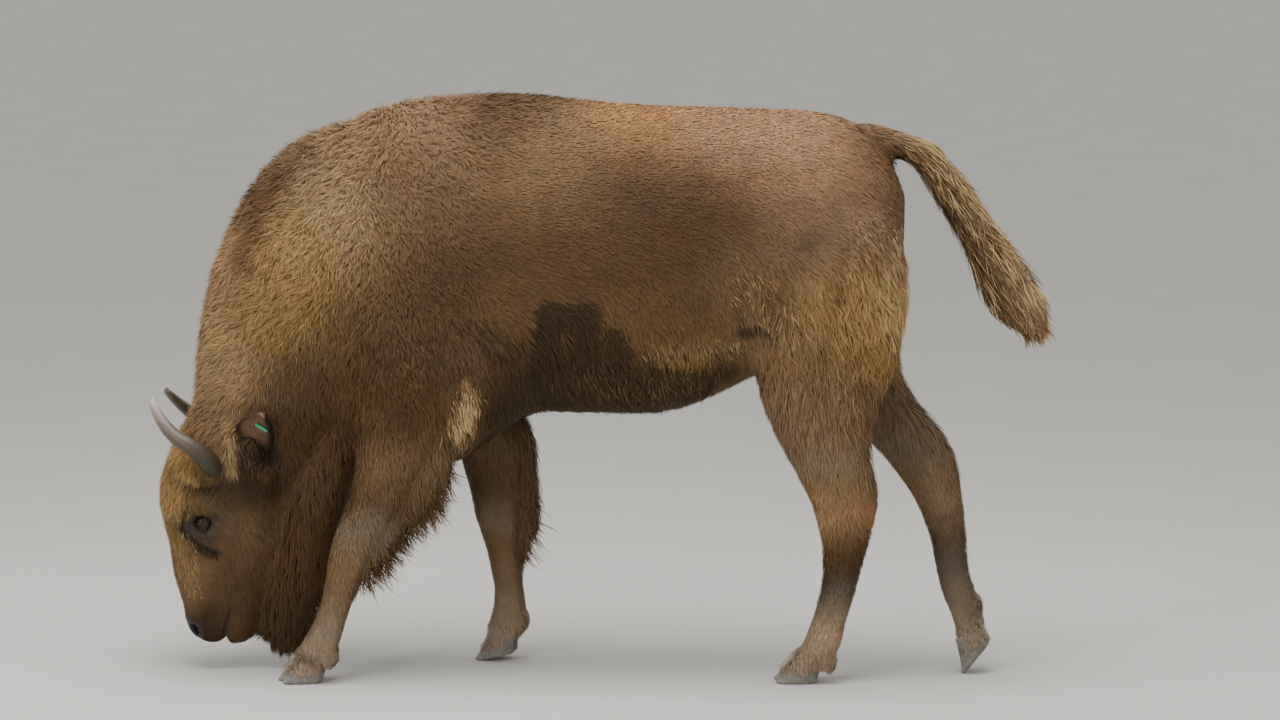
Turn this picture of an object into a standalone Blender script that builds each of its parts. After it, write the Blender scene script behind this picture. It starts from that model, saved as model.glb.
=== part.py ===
"""A young wisent (European bison) that stands with its head lowered to graze.

Metres, +Z up. The animal faces -X and its left side faces -Y, so "left" is the negative Y side.
The masses of flesh are lofts through measured cross-sections. They are blended into one body, which
thin cuts part into head, neck, trunk and legs. Horns, ears, eyes, hooves, tail and beard are fitted
to it. Every outline runs to the tips of the coat.
"""

from math import cos, pi, radians, sin

import bmesh
import bpy
from mathutils import Matrix, Vector

# Driving dimensions
WITHERS = 1.447  # floor to the top of the coat over the hump
CROUP = 1.405  # floor to the top of the rump
BELLY = 0.655  # floor to the hair under the belly
BARREL_HALF = 0.272  # half of the widest part of the barrel
SHOULDER_HALF = 0.252  # half of the width across the shoulders
HEAD_HALF = 0.150  # half of the width of the hair over the forehead
MUZZLE_HALF = 0.066  # half of the width of the muzzle
EYE_RADIUS = 0.0205
SOLE_LENGTH = 0.104  # one claw, toe to heel

# How the surfaces are made
SIDES = 28  # points round a loft
VOXEL = 0.009  # grain of the blend between the masses
BLEND_ROUNDS = 10  # smoothing rounds of the blend
BODY_TRIANGLES = 2950  # triangles of the blended body
GAP = 0.0004  # clearance between pieces that meet
WELD = 0.00002  # corners nearer than this are one corner
CREASE = 50.0  # faces that meet at a sharper angle than this keep a hard edge
CUT_HALF = 0.6  # half the length of a cutter that goes through the whole animal sideways

SIDE_SIGNS = (("left", -1.0), ("right", 1.0))


def remove_everything():
    for thing in list(bpy.data.objects):
        bpy.data.objects.remove(thing, do_unlink=True)


def finish(name, colour, roughness, metallic=0.0):
    """A Principled material from an sRGB colour."""
    material = bpy.data.materials.new(name)
    material.use_nodes = True
    shader = material.node_tree.nodes["Principled BSDF"]
    linear = [((c + 0.055) / 1.055) ** 2.4 if c > 0.04 else c / 12.92 for c in colour]
    shader.inputs["Base Color"].default_value = (*linear, 1.0)
    shader.inputs["Roughness"].default_value = roughness
    shader.inputs["Metallic"].default_value = metallic
    return material


# --- lofts ---------------------------------------------------------------------------------------


def rows_between(rows, steps):
    """The rows, with steps - 1 more rows in each gap, on a Catmull-Rom curve through them."""
    out = []
    last = len(rows) - 1
    for i in range(last):
        before = rows[max(i - 1, 0)]
        after = rows[min(i + 2, last)]
        for k in range(steps):
            t = k / steps
            row = []
            for a, b, c, d in zip(before, rows[i], rows[i + 1], after):
                slope_b = (c - a) / 2
                slope_c = (d - b) / 2
                cubic = 2 * b - 2 * c + slope_b + slope_c
                square = 3 * c - 3 * b - 2 * slope_b - slope_c
                row.append(((cubic * t + square) * t + slope_b) * t + b)
            out.append(tuple(row))
    out.append(tuple(rows[last]))
    return out


def section(row, sides=SIDES):
    """Points round one cross-section.

    row: x, y, z of the centre; angle in degrees of the "fore" direction in the XZ plane; the reach
    fore and aft of the centre; the half width; and how full the outline is fore and aft (2 is an
    ellipse, more is squarer).
    """
    x, y, z, angle, fore, aft, half, full_fore, full_aft = row
    centre = Vector((x, y, z))
    ahead = Vector((cos(radians(angle)), 0.0, sin(radians(angle))))
    points = []
    for k in range(sides):
        turn = 2 * pi * k / sides
        along = cos(turn)
        across = sin(turn)
        reach, full = (fore, full_fore) if along >= 0 else (aft, full_aft)
        power = 2.0 / full
        u = reach * abs(along) ** power * (1 if along >= 0 else -1)
        v = half * abs(across) ** power * (1 if across >= 0 else -1)
        points.append(centre + ahead * u + Vector((0.0, v, 0.0)))
    return points


def skin_rings(name, rings):
    """A closed mesh over rings of equal point counts, with flat ends."""
    mesh = bmesh.new()
    built = [[mesh.verts.new(p) for p in ring] for ring in rings]
    count = len(rings[0])
    for lower, upper in zip(built, built[1:]):
        for k in range(count):
            after = (k + 1) % count
            mesh.faces.new((lower[k], lower[after], upper[after], upper[k]))
    mesh.faces.new(list(reversed(built[0])))
    mesh.faces.new(built[-1])
    bmesh.ops.recalc_face_normals(mesh, faces=mesh.faces)
    if mesh.calc_volume(signed=True) < 0:
        bmesh.ops.reverse_faces(mesh, faces=mesh.faces)
    data = bpy.data.meshes.new(name)
    mesh.to_mesh(data)
    mesh.free()
    piece = bpy.data.objects.new(name, data)
    bpy.context.collection.objects.link(piece)
    return piece


def loft(name, rows, steps=3, sides=SIDES):
    return skin_rings(name, [section(row, sides) for row in rows_between(rows, steps)])


def tube(name, points, radii, steps=3, sides=12):
    """A round tube through points, with a radius at each, as for a horn."""
    rows = rows_between([(*p, r) for p, r in zip(points, radii)], steps)
    centres = [Vector(row[:3]) for row in rows]
    rings = []
    side = None
    for i, centre in enumerate(centres):
        heading = (centres[min(i + 1, len(centres) - 1)] - centres[max(i - 1, 0)]).normalized()
        if side is None:
            side = heading.orthogonal().normalized()
        side = (side - heading * side.dot(heading)).normalized()
        other = heading.cross(side)
        radius = rows[i][3]
        turns = [2 * pi * k / sides for k in range(sides)]
        rings.append([centre + (side * cos(t) + other * sin(t)) * radius for t in turns])
    return skin_rings(name, rings)


def prism(name, outline, half_width=CUT_HALF, y=0.0):
    """An outline in the XZ plane, drawn out along Y."""
    rings = [[Vector((x, y + side, z)) for x, z in outline] for side in (-half_width, half_width)]
    return skin_rings(name, rings)


def ellipsoid(name, centre, radii, segments=12, rings=8):
    mesh = bmesh.new()
    bmesh.ops.create_uvsphere(mesh, u_segments=segments, v_segments=rings, radius=1.0)
    bmesh.ops.scale(mesh, vec=radii, verts=mesh.verts)
    bmesh.ops.translate(mesh, vec=centre, verts=mesh.verts)
    data = bpy.data.meshes.new(name)
    mesh.to_mesh(data)
    mesh.free()
    piece = bpy.data.objects.new(name, data)
    bpy.context.collection.objects.link(piece)
    return piece


# --- work on whole pieces ------------------------------------------------------------------------


def bake_modifiers(piece):
    """Replaces the piece's mesh by the mesh its modifiers give."""
    graph = bpy.context.evaluated_depsgraph_get()
    result = bpy.data.meshes.new_from_object(piece.evaluated_get(graph))
    piece.modifiers.clear()
    old = piece.data
    piece.data = result
    bpy.data.meshes.remove(old)


def keep_largest_body(piece):
    """Removes the crumbs that a cut can leave beside the piece."""
    mesh = bmesh.new()
    mesh.from_mesh(piece.data)
    bmesh.ops.remove_doubles(mesh, verts=mesh.verts, dist=WELD)
    unseen = set(mesh.verts)
    bodies = []
    while unseen:
        stack = [unseen.pop()]
        body = list(stack)
        while stack:
            for edge in stack.pop().link_edges:
                for vert in edge.verts:
                    if vert in unseen:
                        unseen.discard(vert)
                        stack.append(vert)
                        body.append(vert)
        bodies.append(body)
    bodies.sort(key=len, reverse=True)
    for body in bodies[1:]:
        bmesh.ops.delete(mesh, geom=body, context="VERTS")
    bmesh.ops.recalc_face_normals(mesh, faces=mesh.faces)
    if mesh.calc_volume(signed=True) < 0:
        bmesh.ops.reverse_faces(mesh, faces=mesh.faces)
    mesh.to_mesh(piece.data)
    mesh.free()


def combine(piece, tool, operation):
    """Cuts the piece by the tool, or keeps their common part."""
    cut = piece.modifiers.new(operation.lower(), "BOOLEAN")
    cut.object = tool
    cut.operation = operation
    bake_modifiers(piece)
    keep_largest_body(piece)


def copy_of(piece, name):
    double = piece.copy()
    double.data = piece.data.copy()
    double.name = name
    bpy.context.collection.objects.link(double)
    return double


def grown(piece, by):
    """A copy whose surface lies further out, as a tool that leaves a clearance."""
    double = copy_of(piece, piece.name + ".grown")
    swell = double.modifiers.new("swell", "DISPLACE")
    swell.mid_level = 0.0
    swell.strength = by
    bake_modifiers(double)
    return double


def discard(*pieces):
    for piece in pieces:
        bpy.data.objects.remove(piece, do_unlink=True)


def split_off(whole, region, name):
    """Takes the part of the whole inside the region as a new piece, and leaves a thin gap beside it."""
    part = copy_of(whole, name)
    combine(part, region, "INTERSECT")
    wider = grown(region, GAP)
    combine(whole, wider, "DIFFERENCE")
    discard(wider)
    return part


# --- the masses of the body ----------------------------------------------------------------------


def trunk_row(x, top, bottom, half, widest, pinch=2.0, floor_full=2.2):
    return (x, 0.0, widest, 90.0, top - widest, widest - bottom, half, pinch, floor_full)


def trunk_mass():
    rows = (
        trunk_row(-0.700, 1.290, 0.720, 0.110, 0.930),
        trunk_row(-0.620, 1.388, 0.580, 0.195, 0.900, 1.8),
        trunk_row(-0.500, 1.430, 0.520, SHOULDER_HALF * 0.94, 0.880, 1.7),
        trunk_row(-0.350, 1.446, 0.535, SHOULDER_HALF, 0.880, 1.65),
        trunk_row(-0.200, WITHERS, 0.642, SHOULDER_HALF * 0.98, 0.900, 1.7),
        trunk_row(-0.060, 1.431, BELLY, BARREL_HALF * 0.97, 0.920, 1.85),
        trunk_row(0.100, 1.417, BELLY, BARREL_HALF, 0.940, 2.05),
        trunk_row(0.220, 1.414, 0.676, BARREL_HALF * 0.98, 0.970, 2.15),
        trunk_row(0.360, 1.410, 0.745, BARREL_HALF * 0.90, 1.010, 2.2),
        trunk_row(0.500, CROUP, 0.800, BARREL_HALF * 0.85, 1.060, 2.1),
        trunk_row(0.610, 1.378, 0.850, BARREL_HALF * 0.72, 1.090, 2.0),
        trunk_row(0.690, 1.303, 0.900, BARREL_HALF * 0.52, 1.100, 2.0),
        trunk_row(0.738, 1.200, 0.980, BARREL_HALF * 0.24, 1.100, 2.0),
    )
    return loft("trunk_mass", rows)


def neck_mass():
    rows = (
        (-0.440, 0.0, 0.960, 96.0, 0.440, 0.400, 0.225, 1.7, 2.1),
        (-0.570, 0.0, 0.920, 116.0, 0.455, 0.400, 0.222, 1.8, 2.1),
        (-0.680, 0.0, 0.850, 136.0, 0.362, 0.330, 0.196, 1.9, 2.1),
        (-0.765, 0.0, 0.760, 156.0, 0.264, 0.230, 0.172, 2.0, 2.1),
        (-0.835, 0.0, 0.670, 172.0, 0.190, 0.215, 0.155, 2.1, 2.1),
        (-0.860, 0.0, 0.580, 180.0, 0.170, 0.175, 0.140, 2.1, 2.1),
        (-0.865, 0.0, 0.490, 180.0, 0.150, 0.130, 0.120, 2.1, 2.1),
    )
    return loft("neck_mass", rows)


def upright_row(z, front, back, half, y=0.0, full_front=2.2, full_back=2.2, middle=0.5):
    """A level cross-section, with the widest place given as a share of the way from front to back."""
    centre = front + (back - front) * middle
    return (centre, y, z, 180.0, centre - front, back - centre, half, full_front, full_back)


def head_mass():
    rows = (
        upright_row(0.705, -1.010, -0.790, 0.105),
        upright_row(0.640, -1.040, -0.760, 0.138, middle=0.52),
        upright_row(0.570, -1.076, -0.760, HEAD_HALF, middle=0.48),
        upright_row(0.500, -1.104, -0.770, HEAD_HALF * 0.98, middle=0.44, full_front=2.4),
        upright_row(0.440, -1.112, -0.785, HEAD_HALF * 0.93, middle=0.42, full_front=2.5),
        upright_row(0.380, -1.102, -0.795, HEAD_HALF * 0.86, middle=0.40, full_front=2.5),
        upright_row(0.320, -1.090, -0.805, HEAD_HALF * 0.74, middle=0.45, full_front=2.4),
        upright_row(0.260, -1.083, -0.825, HEAD_HALF * 0.60, middle=0.48, full_front=2.4),
        upright_row(0.205, -1.071, -0.848, HEAD_HALF * 0.485, middle=0.48, full_front=2.5),
        upright_row(0.160, -1.057, -0.860, MUZZLE_HALF, middle=0.44, full_front=2.6),
        upright_row(0.125, -1.051, -0.868, MUZZLE_HALF, middle=0.42, full_front=2.6),
        upright_row(0.096, -1.041, -0.874, MUZZLE_HALF * 0.92, middle=0.42, full_front=2.5),
        upright_row(0.074, -1.020, -0.884, MUZZLE_HALF * 0.72, middle=0.46),
        upright_row(0.063, -0.992, -0.898, MUZZLE_HALF * 0.42, middle=0.5),
    )
    return loft("head_mass", rows)


# Each row of a leg: height, front edge, back edge, half width, sideways place
FRONT_LEFT_LEG = (
    (1.060, -0.580, -0.330, 0.075, 0.130),
    (0.900, -0.625, -0.320, 0.105, 0.145),
    (0.760, -0.625, -0.330, 0.106, 0.152),
    (0.640, -0.606, -0.360, 0.094, 0.160),
    (0.540, -0.600, -0.415, 0.082, 0.168),
    (0.450, -0.622, -0.470, 0.070, 0.172),
    (0.370, -0.652, -0.530, 0.060, 0.175),
    (0.310, -0.668, -0.562, 0.053, 0.177),
    (0.240, -0.678, -0.592, 0.044, 0.179),
    (0.170, -0.697, -0.616, 0.041, 0.182),
    (0.110, -0.728, -0.634, 0.048, 0.185),
    (0.070, -0.752, -0.650, 0.046, 0.188),
    (0.030, -0.765, -0.680, 0.038, 0.191),
)
FRONT_RIGHT_LEG = (
    (1.060, -0.560, -0.300, 0.075, 0.130),
    (0.900, -0.570, -0.250, 0.105, 0.145),
    (0.760, -0.520, -0.235, 0.106, 0.152),
    (0.640, -0.455, -0.222, 0.094, 0.160),
    (0.540, -0.388, -0.206, 0.082, 0.166),
    (0.450, -0.358, -0.206, 0.070, 0.168),
    (0.370, -0.342, -0.218, 0.060, 0.169),
    (0.310, -0.322, -0.222, 0.053, 0.170),
    (0.240, -0.304, -0.222, 0.044, 0.170),
    (0.170, -0.294, -0.214, 0.041, 0.170),
    (0.110, -0.302, -0.208, 0.048, 0.170),
    (0.070, -0.316, -0.222, 0.046, 0.170),
    (0.030, -0.328, -0.245, 0.038, 0.170),
)
HIND_LEFT_LEG = (
    (1.270, 0.420, 0.620, 0.060, 0.085),
    (1.150, 0.390, 0.715, 0.095, 0.112),
    (1.040, 0.372, 0.745, 0.108, 0.126),
    (0.920, 0.364, 0.748, 0.112, 0.132),
    (0.800, 0.372, 0.724, 0.103, 0.132),
    (0.700, 0.390, 0.686, 0.088, 0.126),
    (0.600, 0.434, 0.660, 0.070, 0.120),
    (0.530, 0.474, 0.668, 0.056, 0.116),
    (0.465, 0.506, 0.684, 0.049, 0.113),
    (0.400, 0.528, 0.672, 0.044, 0.110),
    (0.320, 0.542, 0.652, 0.037, 0.107),
    (0.230, 0.536, 0.628, 0.034, 0.104),
    (0.150, 0.514, 0.604, 0.038, 0.101),
    (0.100, 0.494, 0.594, 0.045, 0.100),
    (0.065, 0.476, 0.575, 0.044, 0.099),
    (0.025, 0.455, 0.540, 0.037, 0.098),
)
HIND_RIGHT_LEG = (
    (1.270, 0.430, 0.620, 0.060, 0.085),
    (1.150, 0.410, 0.715, 0.095, 0.112),
    (1.040, 0.415, 0.745, 0.108, 0.126),
    (0.920, 0.430, 0.748, 0.110, 0.130),
    (0.800, 0.452, 0.726, 0.100, 0.124),
    (0.710, 0.510, 0.748, 0.084, 0.116),
    (0.640, 0.580, 0.800, 0.070, 0.108),
    (0.570, 0.655, 0.856, 0.057, 0.102),
    (0.500, 0.716, 0.876, 0.050, 0.097),
    (0.420, 0.770, 0.889, 0.044, 0.092),
    (0.330, 0.804, 0.899, 0.037, 0.087),
    (0.250, 0.820, 0.905, 0.034, 0.083),
    (0.190, 0.836, 0.926, 0.040, 0.080),
    (0.145, 0.858, 0.930, 0.044, 0.078),
    (0.110, 0.868, 0.944, 0.042, 0.076),
    (0.070, 0.880, 0.950, 0.034, 0.075),
)


def leg_mass(name, table, sign):
    rows = [upright_row(z, front, back, half, sign * y) for z, front, back, half, y in table]
    return loft(name, rows, sides=20)


def blended_body(masses):
    """One closed surface over all the masses, smoothed where they meet."""
    for thing in bpy.context.selected_objects:
        thing.select_set(False)
    for mass in masses:
        mass.select_set(True)
    body = masses[0]
    bpy.context.view_layer.objects.active = body
    bpy.ops.object.join()
    body.name = "body"
    remesh = body.modifiers.new("remesh", "REMESH")
    remesh.mode = "VOXEL"
    remesh.voxel_size = VOXEL
    smooth = body.modifiers.new("smooth", "SMOOTH")
    smooth.factor = 0.5
    smooth.iterations = BLEND_ROUNDS
    bake_modifiers(body)
    body.data.calc_loop_triangles()
    thin = body.modifiers.new("thin", "DECIMATE")
    thin.ratio = BODY_TRIANGLES / len(body.data.loop_triangles)
    thin.use_collapse_triangulate = True
    bake_modifiers(body)
    keep_largest_body(body)
    return body


# --- the feet ------------------------------------------------------------------------------------


# name, sign of Y, toe x, middle y, yaw of the toe away from straight ahead, pitch of the whole foot
FEET = (
    ("front_left", -1.0, -0.787, 0.196, 22.0, 0.0),
    ("front_right", 1.0, -0.336, 0.170, 6.0, 14.0),
    ("hind_left", -1.0, 0.426, 0.098, 8.0, 0.0),
    ("hind_right", 1.0, 0.893, 0.074, 4.0, 52.0),
)
CLAW_HALF = 0.0215
CLAW_SPREAD = 0.0235  # from the middle of the foot to the middle of a claw
CLAW_AHEAD = SOLE_LENGTH * 0.54  # from the tip of the toe to the middle of the claw
CORONET = 0.060  # height of the top of the horn over the middle of the sole
CORONET_BACK = 0.028  # how far the top of the horn lies behind the middle of the sole
CORONET_TILT = 24.0  # the top of the horn rises toward the toe
TOE_FLAT = 0.004  # how much of a tipped toe is worn away to the flat that it stands on
FOOT_BLOCK = (0.34, 0.20, 0.30)  # a block larger than the foot


def foot_frame(sign, toe_x, y, yaw, pitch):
    """Places a foot drawn with its toe tip at the origin, its toe toward -X and its sole on the floor."""
    turn = Matrix.Rotation(sign * radians(-yaw), 4, "Z")
    tip = Matrix.Rotation(radians(-pitch), 4, "Y")
    return Matrix.Translation((toe_x, sign * y, -TOE_FLAT if pitch else 0.0)) @ turn @ tip


def claw(name, offset, frame):
    """One claw: a flat sole, a sloping front wall and a low heel."""
    ahead = CLAW_AHEAD
    behind = SOLE_LENGTH - ahead
    top = ahead + CORONET_BACK
    top_angle = 180.0 - CORONET_TILT
    half = CLAW_HALF
    rows = (
        (ahead, offset, 0.000, 180.0, ahead - 0.004, behind - 0.004, half - 0.003, 2.0, 2.5),
        (ahead, offset, 0.005, 179.0, ahead, behind, half, 2.0, 2.5),
        (ahead + 0.012, offset, 0.026, 172.0, ahead - 0.013, behind - 0.008, half, 2.0, 2.4),
        (ahead + 0.022, offset, 0.046, 162.0, ahead - 0.022, behind - 0.013, half * 0.97, 2.0, 2.2),
        (top, offset, CORONET, top_angle, ahead - 0.026, behind - 0.014, half * 0.93, 2.0, 2.0),
    )
    piece = loft(name, rows, steps=1, sides=12)
    piece.data.transform(frame)
    piece.data.update()
    return piece


def coronet_tool(name, frame):
    """A block that fills the foot below the top of the horn, to end the leg there on a flat."""
    mesh = bmesh.new()
    bmesh.ops.create_cube(mesh, size=1.0)
    bmesh.ops.scale(mesh, vec=FOOT_BLOCK, verts=mesh.verts)
    bmesh.ops.translate(mesh, vec=(0.0, 0.0, GAP - FOOT_BLOCK[2] / 2), verts=mesh.verts)
    level = Matrix.Rotation(radians(CORONET_TILT), 4, "Y")
    place = Matrix.Translation((CLAW_AHEAD + CORONET_BACK, 0.0, CORONET))
    bmesh.ops.transform(mesh, matrix=frame @ place @ level, verts=mesh.verts)
    data = bpy.data.meshes.new(name)
    mesh.to_mesh(data)
    mesh.free()
    tool = bpy.data.objects.new(name, data)
    bpy.context.collection.objects.link(tool)
    return tool


def end_at_floor(piece):
    """Ends a tipped claw on a small flat at the floor."""
    tool = prism("floor_tool", ((-2.0, -0.5), (2.0, -0.5), (2.0, 0.0), (-2.0, 0.0)))
    combine(piece, tool, "DIFFERENCE")
    discard(tool)


# foot, place along X, height, sideways place of the middle between its two dewclaws
DEWCLAWS = (
    ("front_left", -0.654, 0.058, -0.188),
    ("front_right", -0.216, 0.092, 0.170),
    ("hind_left", 0.568, 0.046, -0.100),
    ("hind_right", 0.926, 0.162, 0.077),
)
DEWCLAW_SPREAD = 0.021
DEWCLAW_RADII = (0.014, 0.0115, 0.019)


# --- fitted pieces -------------------------------------------------------------------------------

HORN_POINTS = (
    (-0.940, 0.078, 0.490),
    (-0.957, 0.132, 0.526),
    (-0.978, 0.162, 0.559),
    (-1.009, 0.179, 0.585),
    (-1.044, 0.175, 0.607),
    (-1.080, 0.151, 0.641),
    (-1.1074, 0.113, 0.678),
    (-1.1104, 0.105, 0.690),
)
HORN_RADII = (0.029, 0.0285, 0.0260, 0.0225, 0.0190, 0.0150, 0.0100, 0.0040)
EYE_CENTRE = (-0.989, 0.097, 0.384)
EYE_DISH_RADII = (0.030, 0.030, 0.026)  # the hollow of the lids round the eye
EYE_DISH_OUT = 0.040  # how far its centre lies outside the eye's
EAR_BASE = Vector((-0.868, 0.114, 0.546))
EAR_TIP = Vector((-0.826, 0.198, 0.668))
EAR_HALF = 0.046
EAR_CUP = 0.016
EAR_THICK = 0.011
NOSTRIL_CENTRE = (-1.032, 0.053, 0.101)
NOSTRIL_RADII = (0.015, 0.013, 0.019)
TAG_PLACE = (0.75, 0.32)  # on the ear: share of its length, and place across
TAG_HEADING = Vector((0.905, 0.0, -0.425))  # the way the bar of the tag runs
TAG_FEELER = 0.05  # step on the ear, as a share, that finds how its hollow leans at the tag
TAG_HALF = Vector((0.0175, 0.0042, 0.0009))
TAG_STUD_RADIUS = 0.0028
TAG_STUD_HEIGHT = 0.0052
TAG_CLEARANCE = 0.0014  # the stud's clearance over the faceted hollow of the ear


def mirrored(point, sign):
    return Vector((point[0], point[1] * sign, point[2]))


def horn(name, sign):
    return tube(name, [mirrored(p, sign) for p in HORN_POINTS], HORN_RADII, steps=2, sides=10)


def ear_axes(sign):
    """Along the ear, across it, and out of its opening, which faces sideways and down."""
    along = (mirrored(EAR_TIP, sign) - mirrored(EAR_BASE, sign)).normalized()
    opening = mirrored((-0.15, 0.80, -0.50), sign)
    opening = (opening - along * opening.dot(along)).normalized()
    return along, along.cross(opening).normalized(), opening


def ear_point(sign, u, v):
    """A point of the ear's middle surface: u from base to tip, v from -1 to 1 across."""
    along, across, opening = ear_axes(sign)
    length = (EAR_TIP - EAR_BASE).length
    half = EAR_HALF * (sin(pi * (0.16 + 0.80 * u)) ** 0.7)
    lift = EAR_CUP * (v * v - 0.6) * (1.0 - 0.4 * u)
    return mirrored(EAR_BASE, sign) + along * (length * u) + across * (half * v) + opening * lift


def ear(name, sign):
    """A cupped leaf of even thickness with a closed rim."""
    across_count = 6
    along_count = 5
    _, _, opening = ear_axes(sign)
    mesh = bmesh.new()
    sheets = []
    for face_side in (-0.5, 0.5):
        sheet = []
        for i in range(along_count + 1):
            line = []
            for j in range(across_count + 1):
                u = i / along_count
                v = 2.0 * j / across_count - 1.0
                point = ear_point(sign, u, v) + opening * (face_side * EAR_THICK)
                line.append(mesh.verts.new(point))
            sheet.append(line)
        sheets.append(sheet)
    back, front = sheets
    for i in range(along_count):
        for j in range(across_count):
            for sheet, order in ((front, 1), (back, -1)):
                corners = (sheet[i][j], sheet[i + 1][j], sheet[i + 1][j + 1], sheet[i][j + 1])
                mesh.faces.new(corners[::order])
    rim = [(i, 0) for i in range(along_count)]
    rim += [(along_count, j) for j in range(across_count)]
    rim += [(i, across_count) for i in range(along_count, 0, -1)]
    rim += [(0, j) for j in range(across_count, 0, -1)]
    for k, (i, j) in enumerate(rim):
        m, n = rim[(k + 1) % len(rim)]
        mesh.faces.new((front[i][j], front[m][n], back[m][n], back[i][j]))
    bmesh.ops.recalc_face_normals(mesh, faces=mesh.faces)
    if mesh.calc_volume(signed=True) < 0:
        bmesh.ops.reverse_faces(mesh, faces=mesh.faces)
    data = bpy.data.meshes.new(name)
    mesh.to_mesh(data)
    mesh.free()
    piece = bpy.data.objects.new(name, data)
    bpy.context.collection.objects.link(piece)
    return piece


def ear_tag(name, sign):
    """A slim plastic bar on a stud, in the hollow of the ear."""
    u, v = TAG_PLACE
    middle = ear_point(sign, u, v)
    toward_tip = ear_point(sign, u + TAG_FEELER, v) - middle
    toward_rim = ear_point(sign, u, v + TAG_FEELER) - middle
    outward = toward_tip.cross(toward_rim).normalized()
    if outward.dot(ear_axes(sign)[2]) < 0:
        outward = -outward
    bar = (TAG_HEADING - outward * TAG_HEADING.dot(outward)).normalized()
    frame = Matrix((bar, outward.cross(bar), outward)).transposed().to_4x4()
    frame.translation = middle
    lift = EAR_THICK / 2 + TAG_CLEARANCE
    stud_ends = (Vector((0.0, 0.0, lift)), Vector((0.0, 0.0, lift + TAG_STUD_HEIGHT)))
    stud = tube(name, stud_ends, (TAG_STUD_RADIUS, TAG_STUD_RADIUS), steps=1, sides=8)
    mesh = bmesh.new()
    bmesh.ops.create_cube(mesh, size=2.0)
    bmesh.ops.scale(mesh, vec=TAG_HALF, verts=mesh.verts)
    upright = [e for e in mesh.edges if abs(e.verts[0].co.z - e.verts[1].co.z) > TAG_HALF.z]
    bmesh.ops.bevel(mesh, geom=upright, offset=TAG_HALF.y * 0.4, segments=2, affect="EDGES")
    plate_lift = lift + TAG_STUD_HEIGHT - TAG_HALF.z / 2
    bmesh.ops.translate(mesh, vec=(0.0, 0.0, plate_lift), verts=mesh.verts)
    data = bpy.data.meshes.new("tag_plate")
    mesh.to_mesh(data)
    mesh.free()
    plate = bpy.data.objects.new("tag_plate", data)
    bpy.context.collection.objects.link(plate)
    combine(stud, plate, "UNION")
    discard(plate)
    stud.data.transform(frame)
    return stud


# Long hair that hangs clear of the flesh: height, front edge, back edge, half width
BEARD_ROWS = (
    (0.660, -0.720, -0.560, 0.090),
    (0.560, -0.780, -0.580, 0.100),
    (0.470, -0.800, -0.606, 0.105),
    (0.380, -0.815, -0.634, 0.100),
    (0.290, -0.830, -0.660, 0.088),
    (0.200, -0.866, -0.684, 0.073),
    (0.140, -0.872, -0.704, 0.058),
    (0.095, -0.870, -0.724, 0.045),
    (0.062, -0.850, -0.748, 0.031),
    (0.046, -0.824, -0.776, 0.014),
)
LEFT_FRINGE_ROWS = (
    (0.620, -0.500, -0.358, 0.050),
    (0.540, -0.500, -0.352, 0.050),
    (0.470, -0.520, -0.385, 0.042),
    (0.420, -0.540, -0.430, 0.036),
    (0.370, -0.570, -0.475, 0.030),
    (0.310, -0.600, -0.515, 0.024),
    (0.260, -0.620, -0.555, 0.016),
    (0.238, -0.618, -0.582, 0.008),
)
RIGHT_FRINGE_ROWS = (
    (0.620, -0.300, -0.198, 0.050),
    (0.530, -0.280, -0.182, 0.045),
    (0.450, -0.270, -0.178, 0.038),
    (0.380, -0.270, -0.172, 0.030),
    (0.330, -0.270, -0.178, 0.024),
    (0.280, -0.262, -0.196, 0.016),
    (0.255, -0.250, -0.210, 0.008),
)
FRINGE_PLACE = 0.168  # sideways place of the hair behind the forearm


def hanging_hair(name, table, y=0.0, sides=12):
    rows = [upright_row(z, front, back, half, y) for z, front, back, half in table]
    return loft(name, rows, steps=1, sides=sides)


# Each row of the tail: x, z, heading below level, reach above, reach below, half width
TAIL_ROWS = (
    (0.585, 1.350, 16.0, 0.026, 0.030, 0.030),
    (0.650, 1.345, 24.0, 0.030, 0.032, 0.032),
    (0.715, 1.322, 32.0, 0.037, 0.030, 0.031),
    (0.775, 1.288, 38.0, 0.058, 0.032, 0.036),
    (0.838, 1.214, 46.0, 0.056, 0.044, 0.042),
    (0.897, 1.130, 52.0, 0.056, 0.050, 0.046),
    (0.955, 1.036, 55.0, 0.064, 0.064, 0.046),
    (1.004, 0.956, 57.0, 0.066, 0.074, 0.040),
    (1.050, 0.898, 59.0, 0.058, 0.072, 0.028),
    (1.078, 0.862, 60.0, 0.028, 0.042, 0.012),
)
TAIL_DOCK_ROWS = 4  # how many of these rows are the short-haired dock


def tail_piece(name, table):
    rows = [(x, 0.0, z, 90.0 - below, up, down, half, 2.1, 2.1) for x, z, below, up, down, half in table]
    return loft(name, rows, steps=2, sides=12)


def tail_pieces():
    """The dock and the brush of long hair, which meet face to face."""
    dock = tail_piece("tail", TAIL_ROWS[:TAIL_DOCK_ROWS])
    brush = tail_piece("tail_brush", TAIL_ROWS[TAIL_DOCK_ROWS - 1:])
    _, _, below, _, _, _ = TAIL_ROWS[TAIL_DOCK_ROWS - 1]
    heading = Vector((cos(radians(below)), 0.0, -sin(radians(below))))
    brush.data.transform(Matrix.Translation(heading * GAP))
    return dock, brush


# --- parting the body ----------------------------------------------------------------------------

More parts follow.
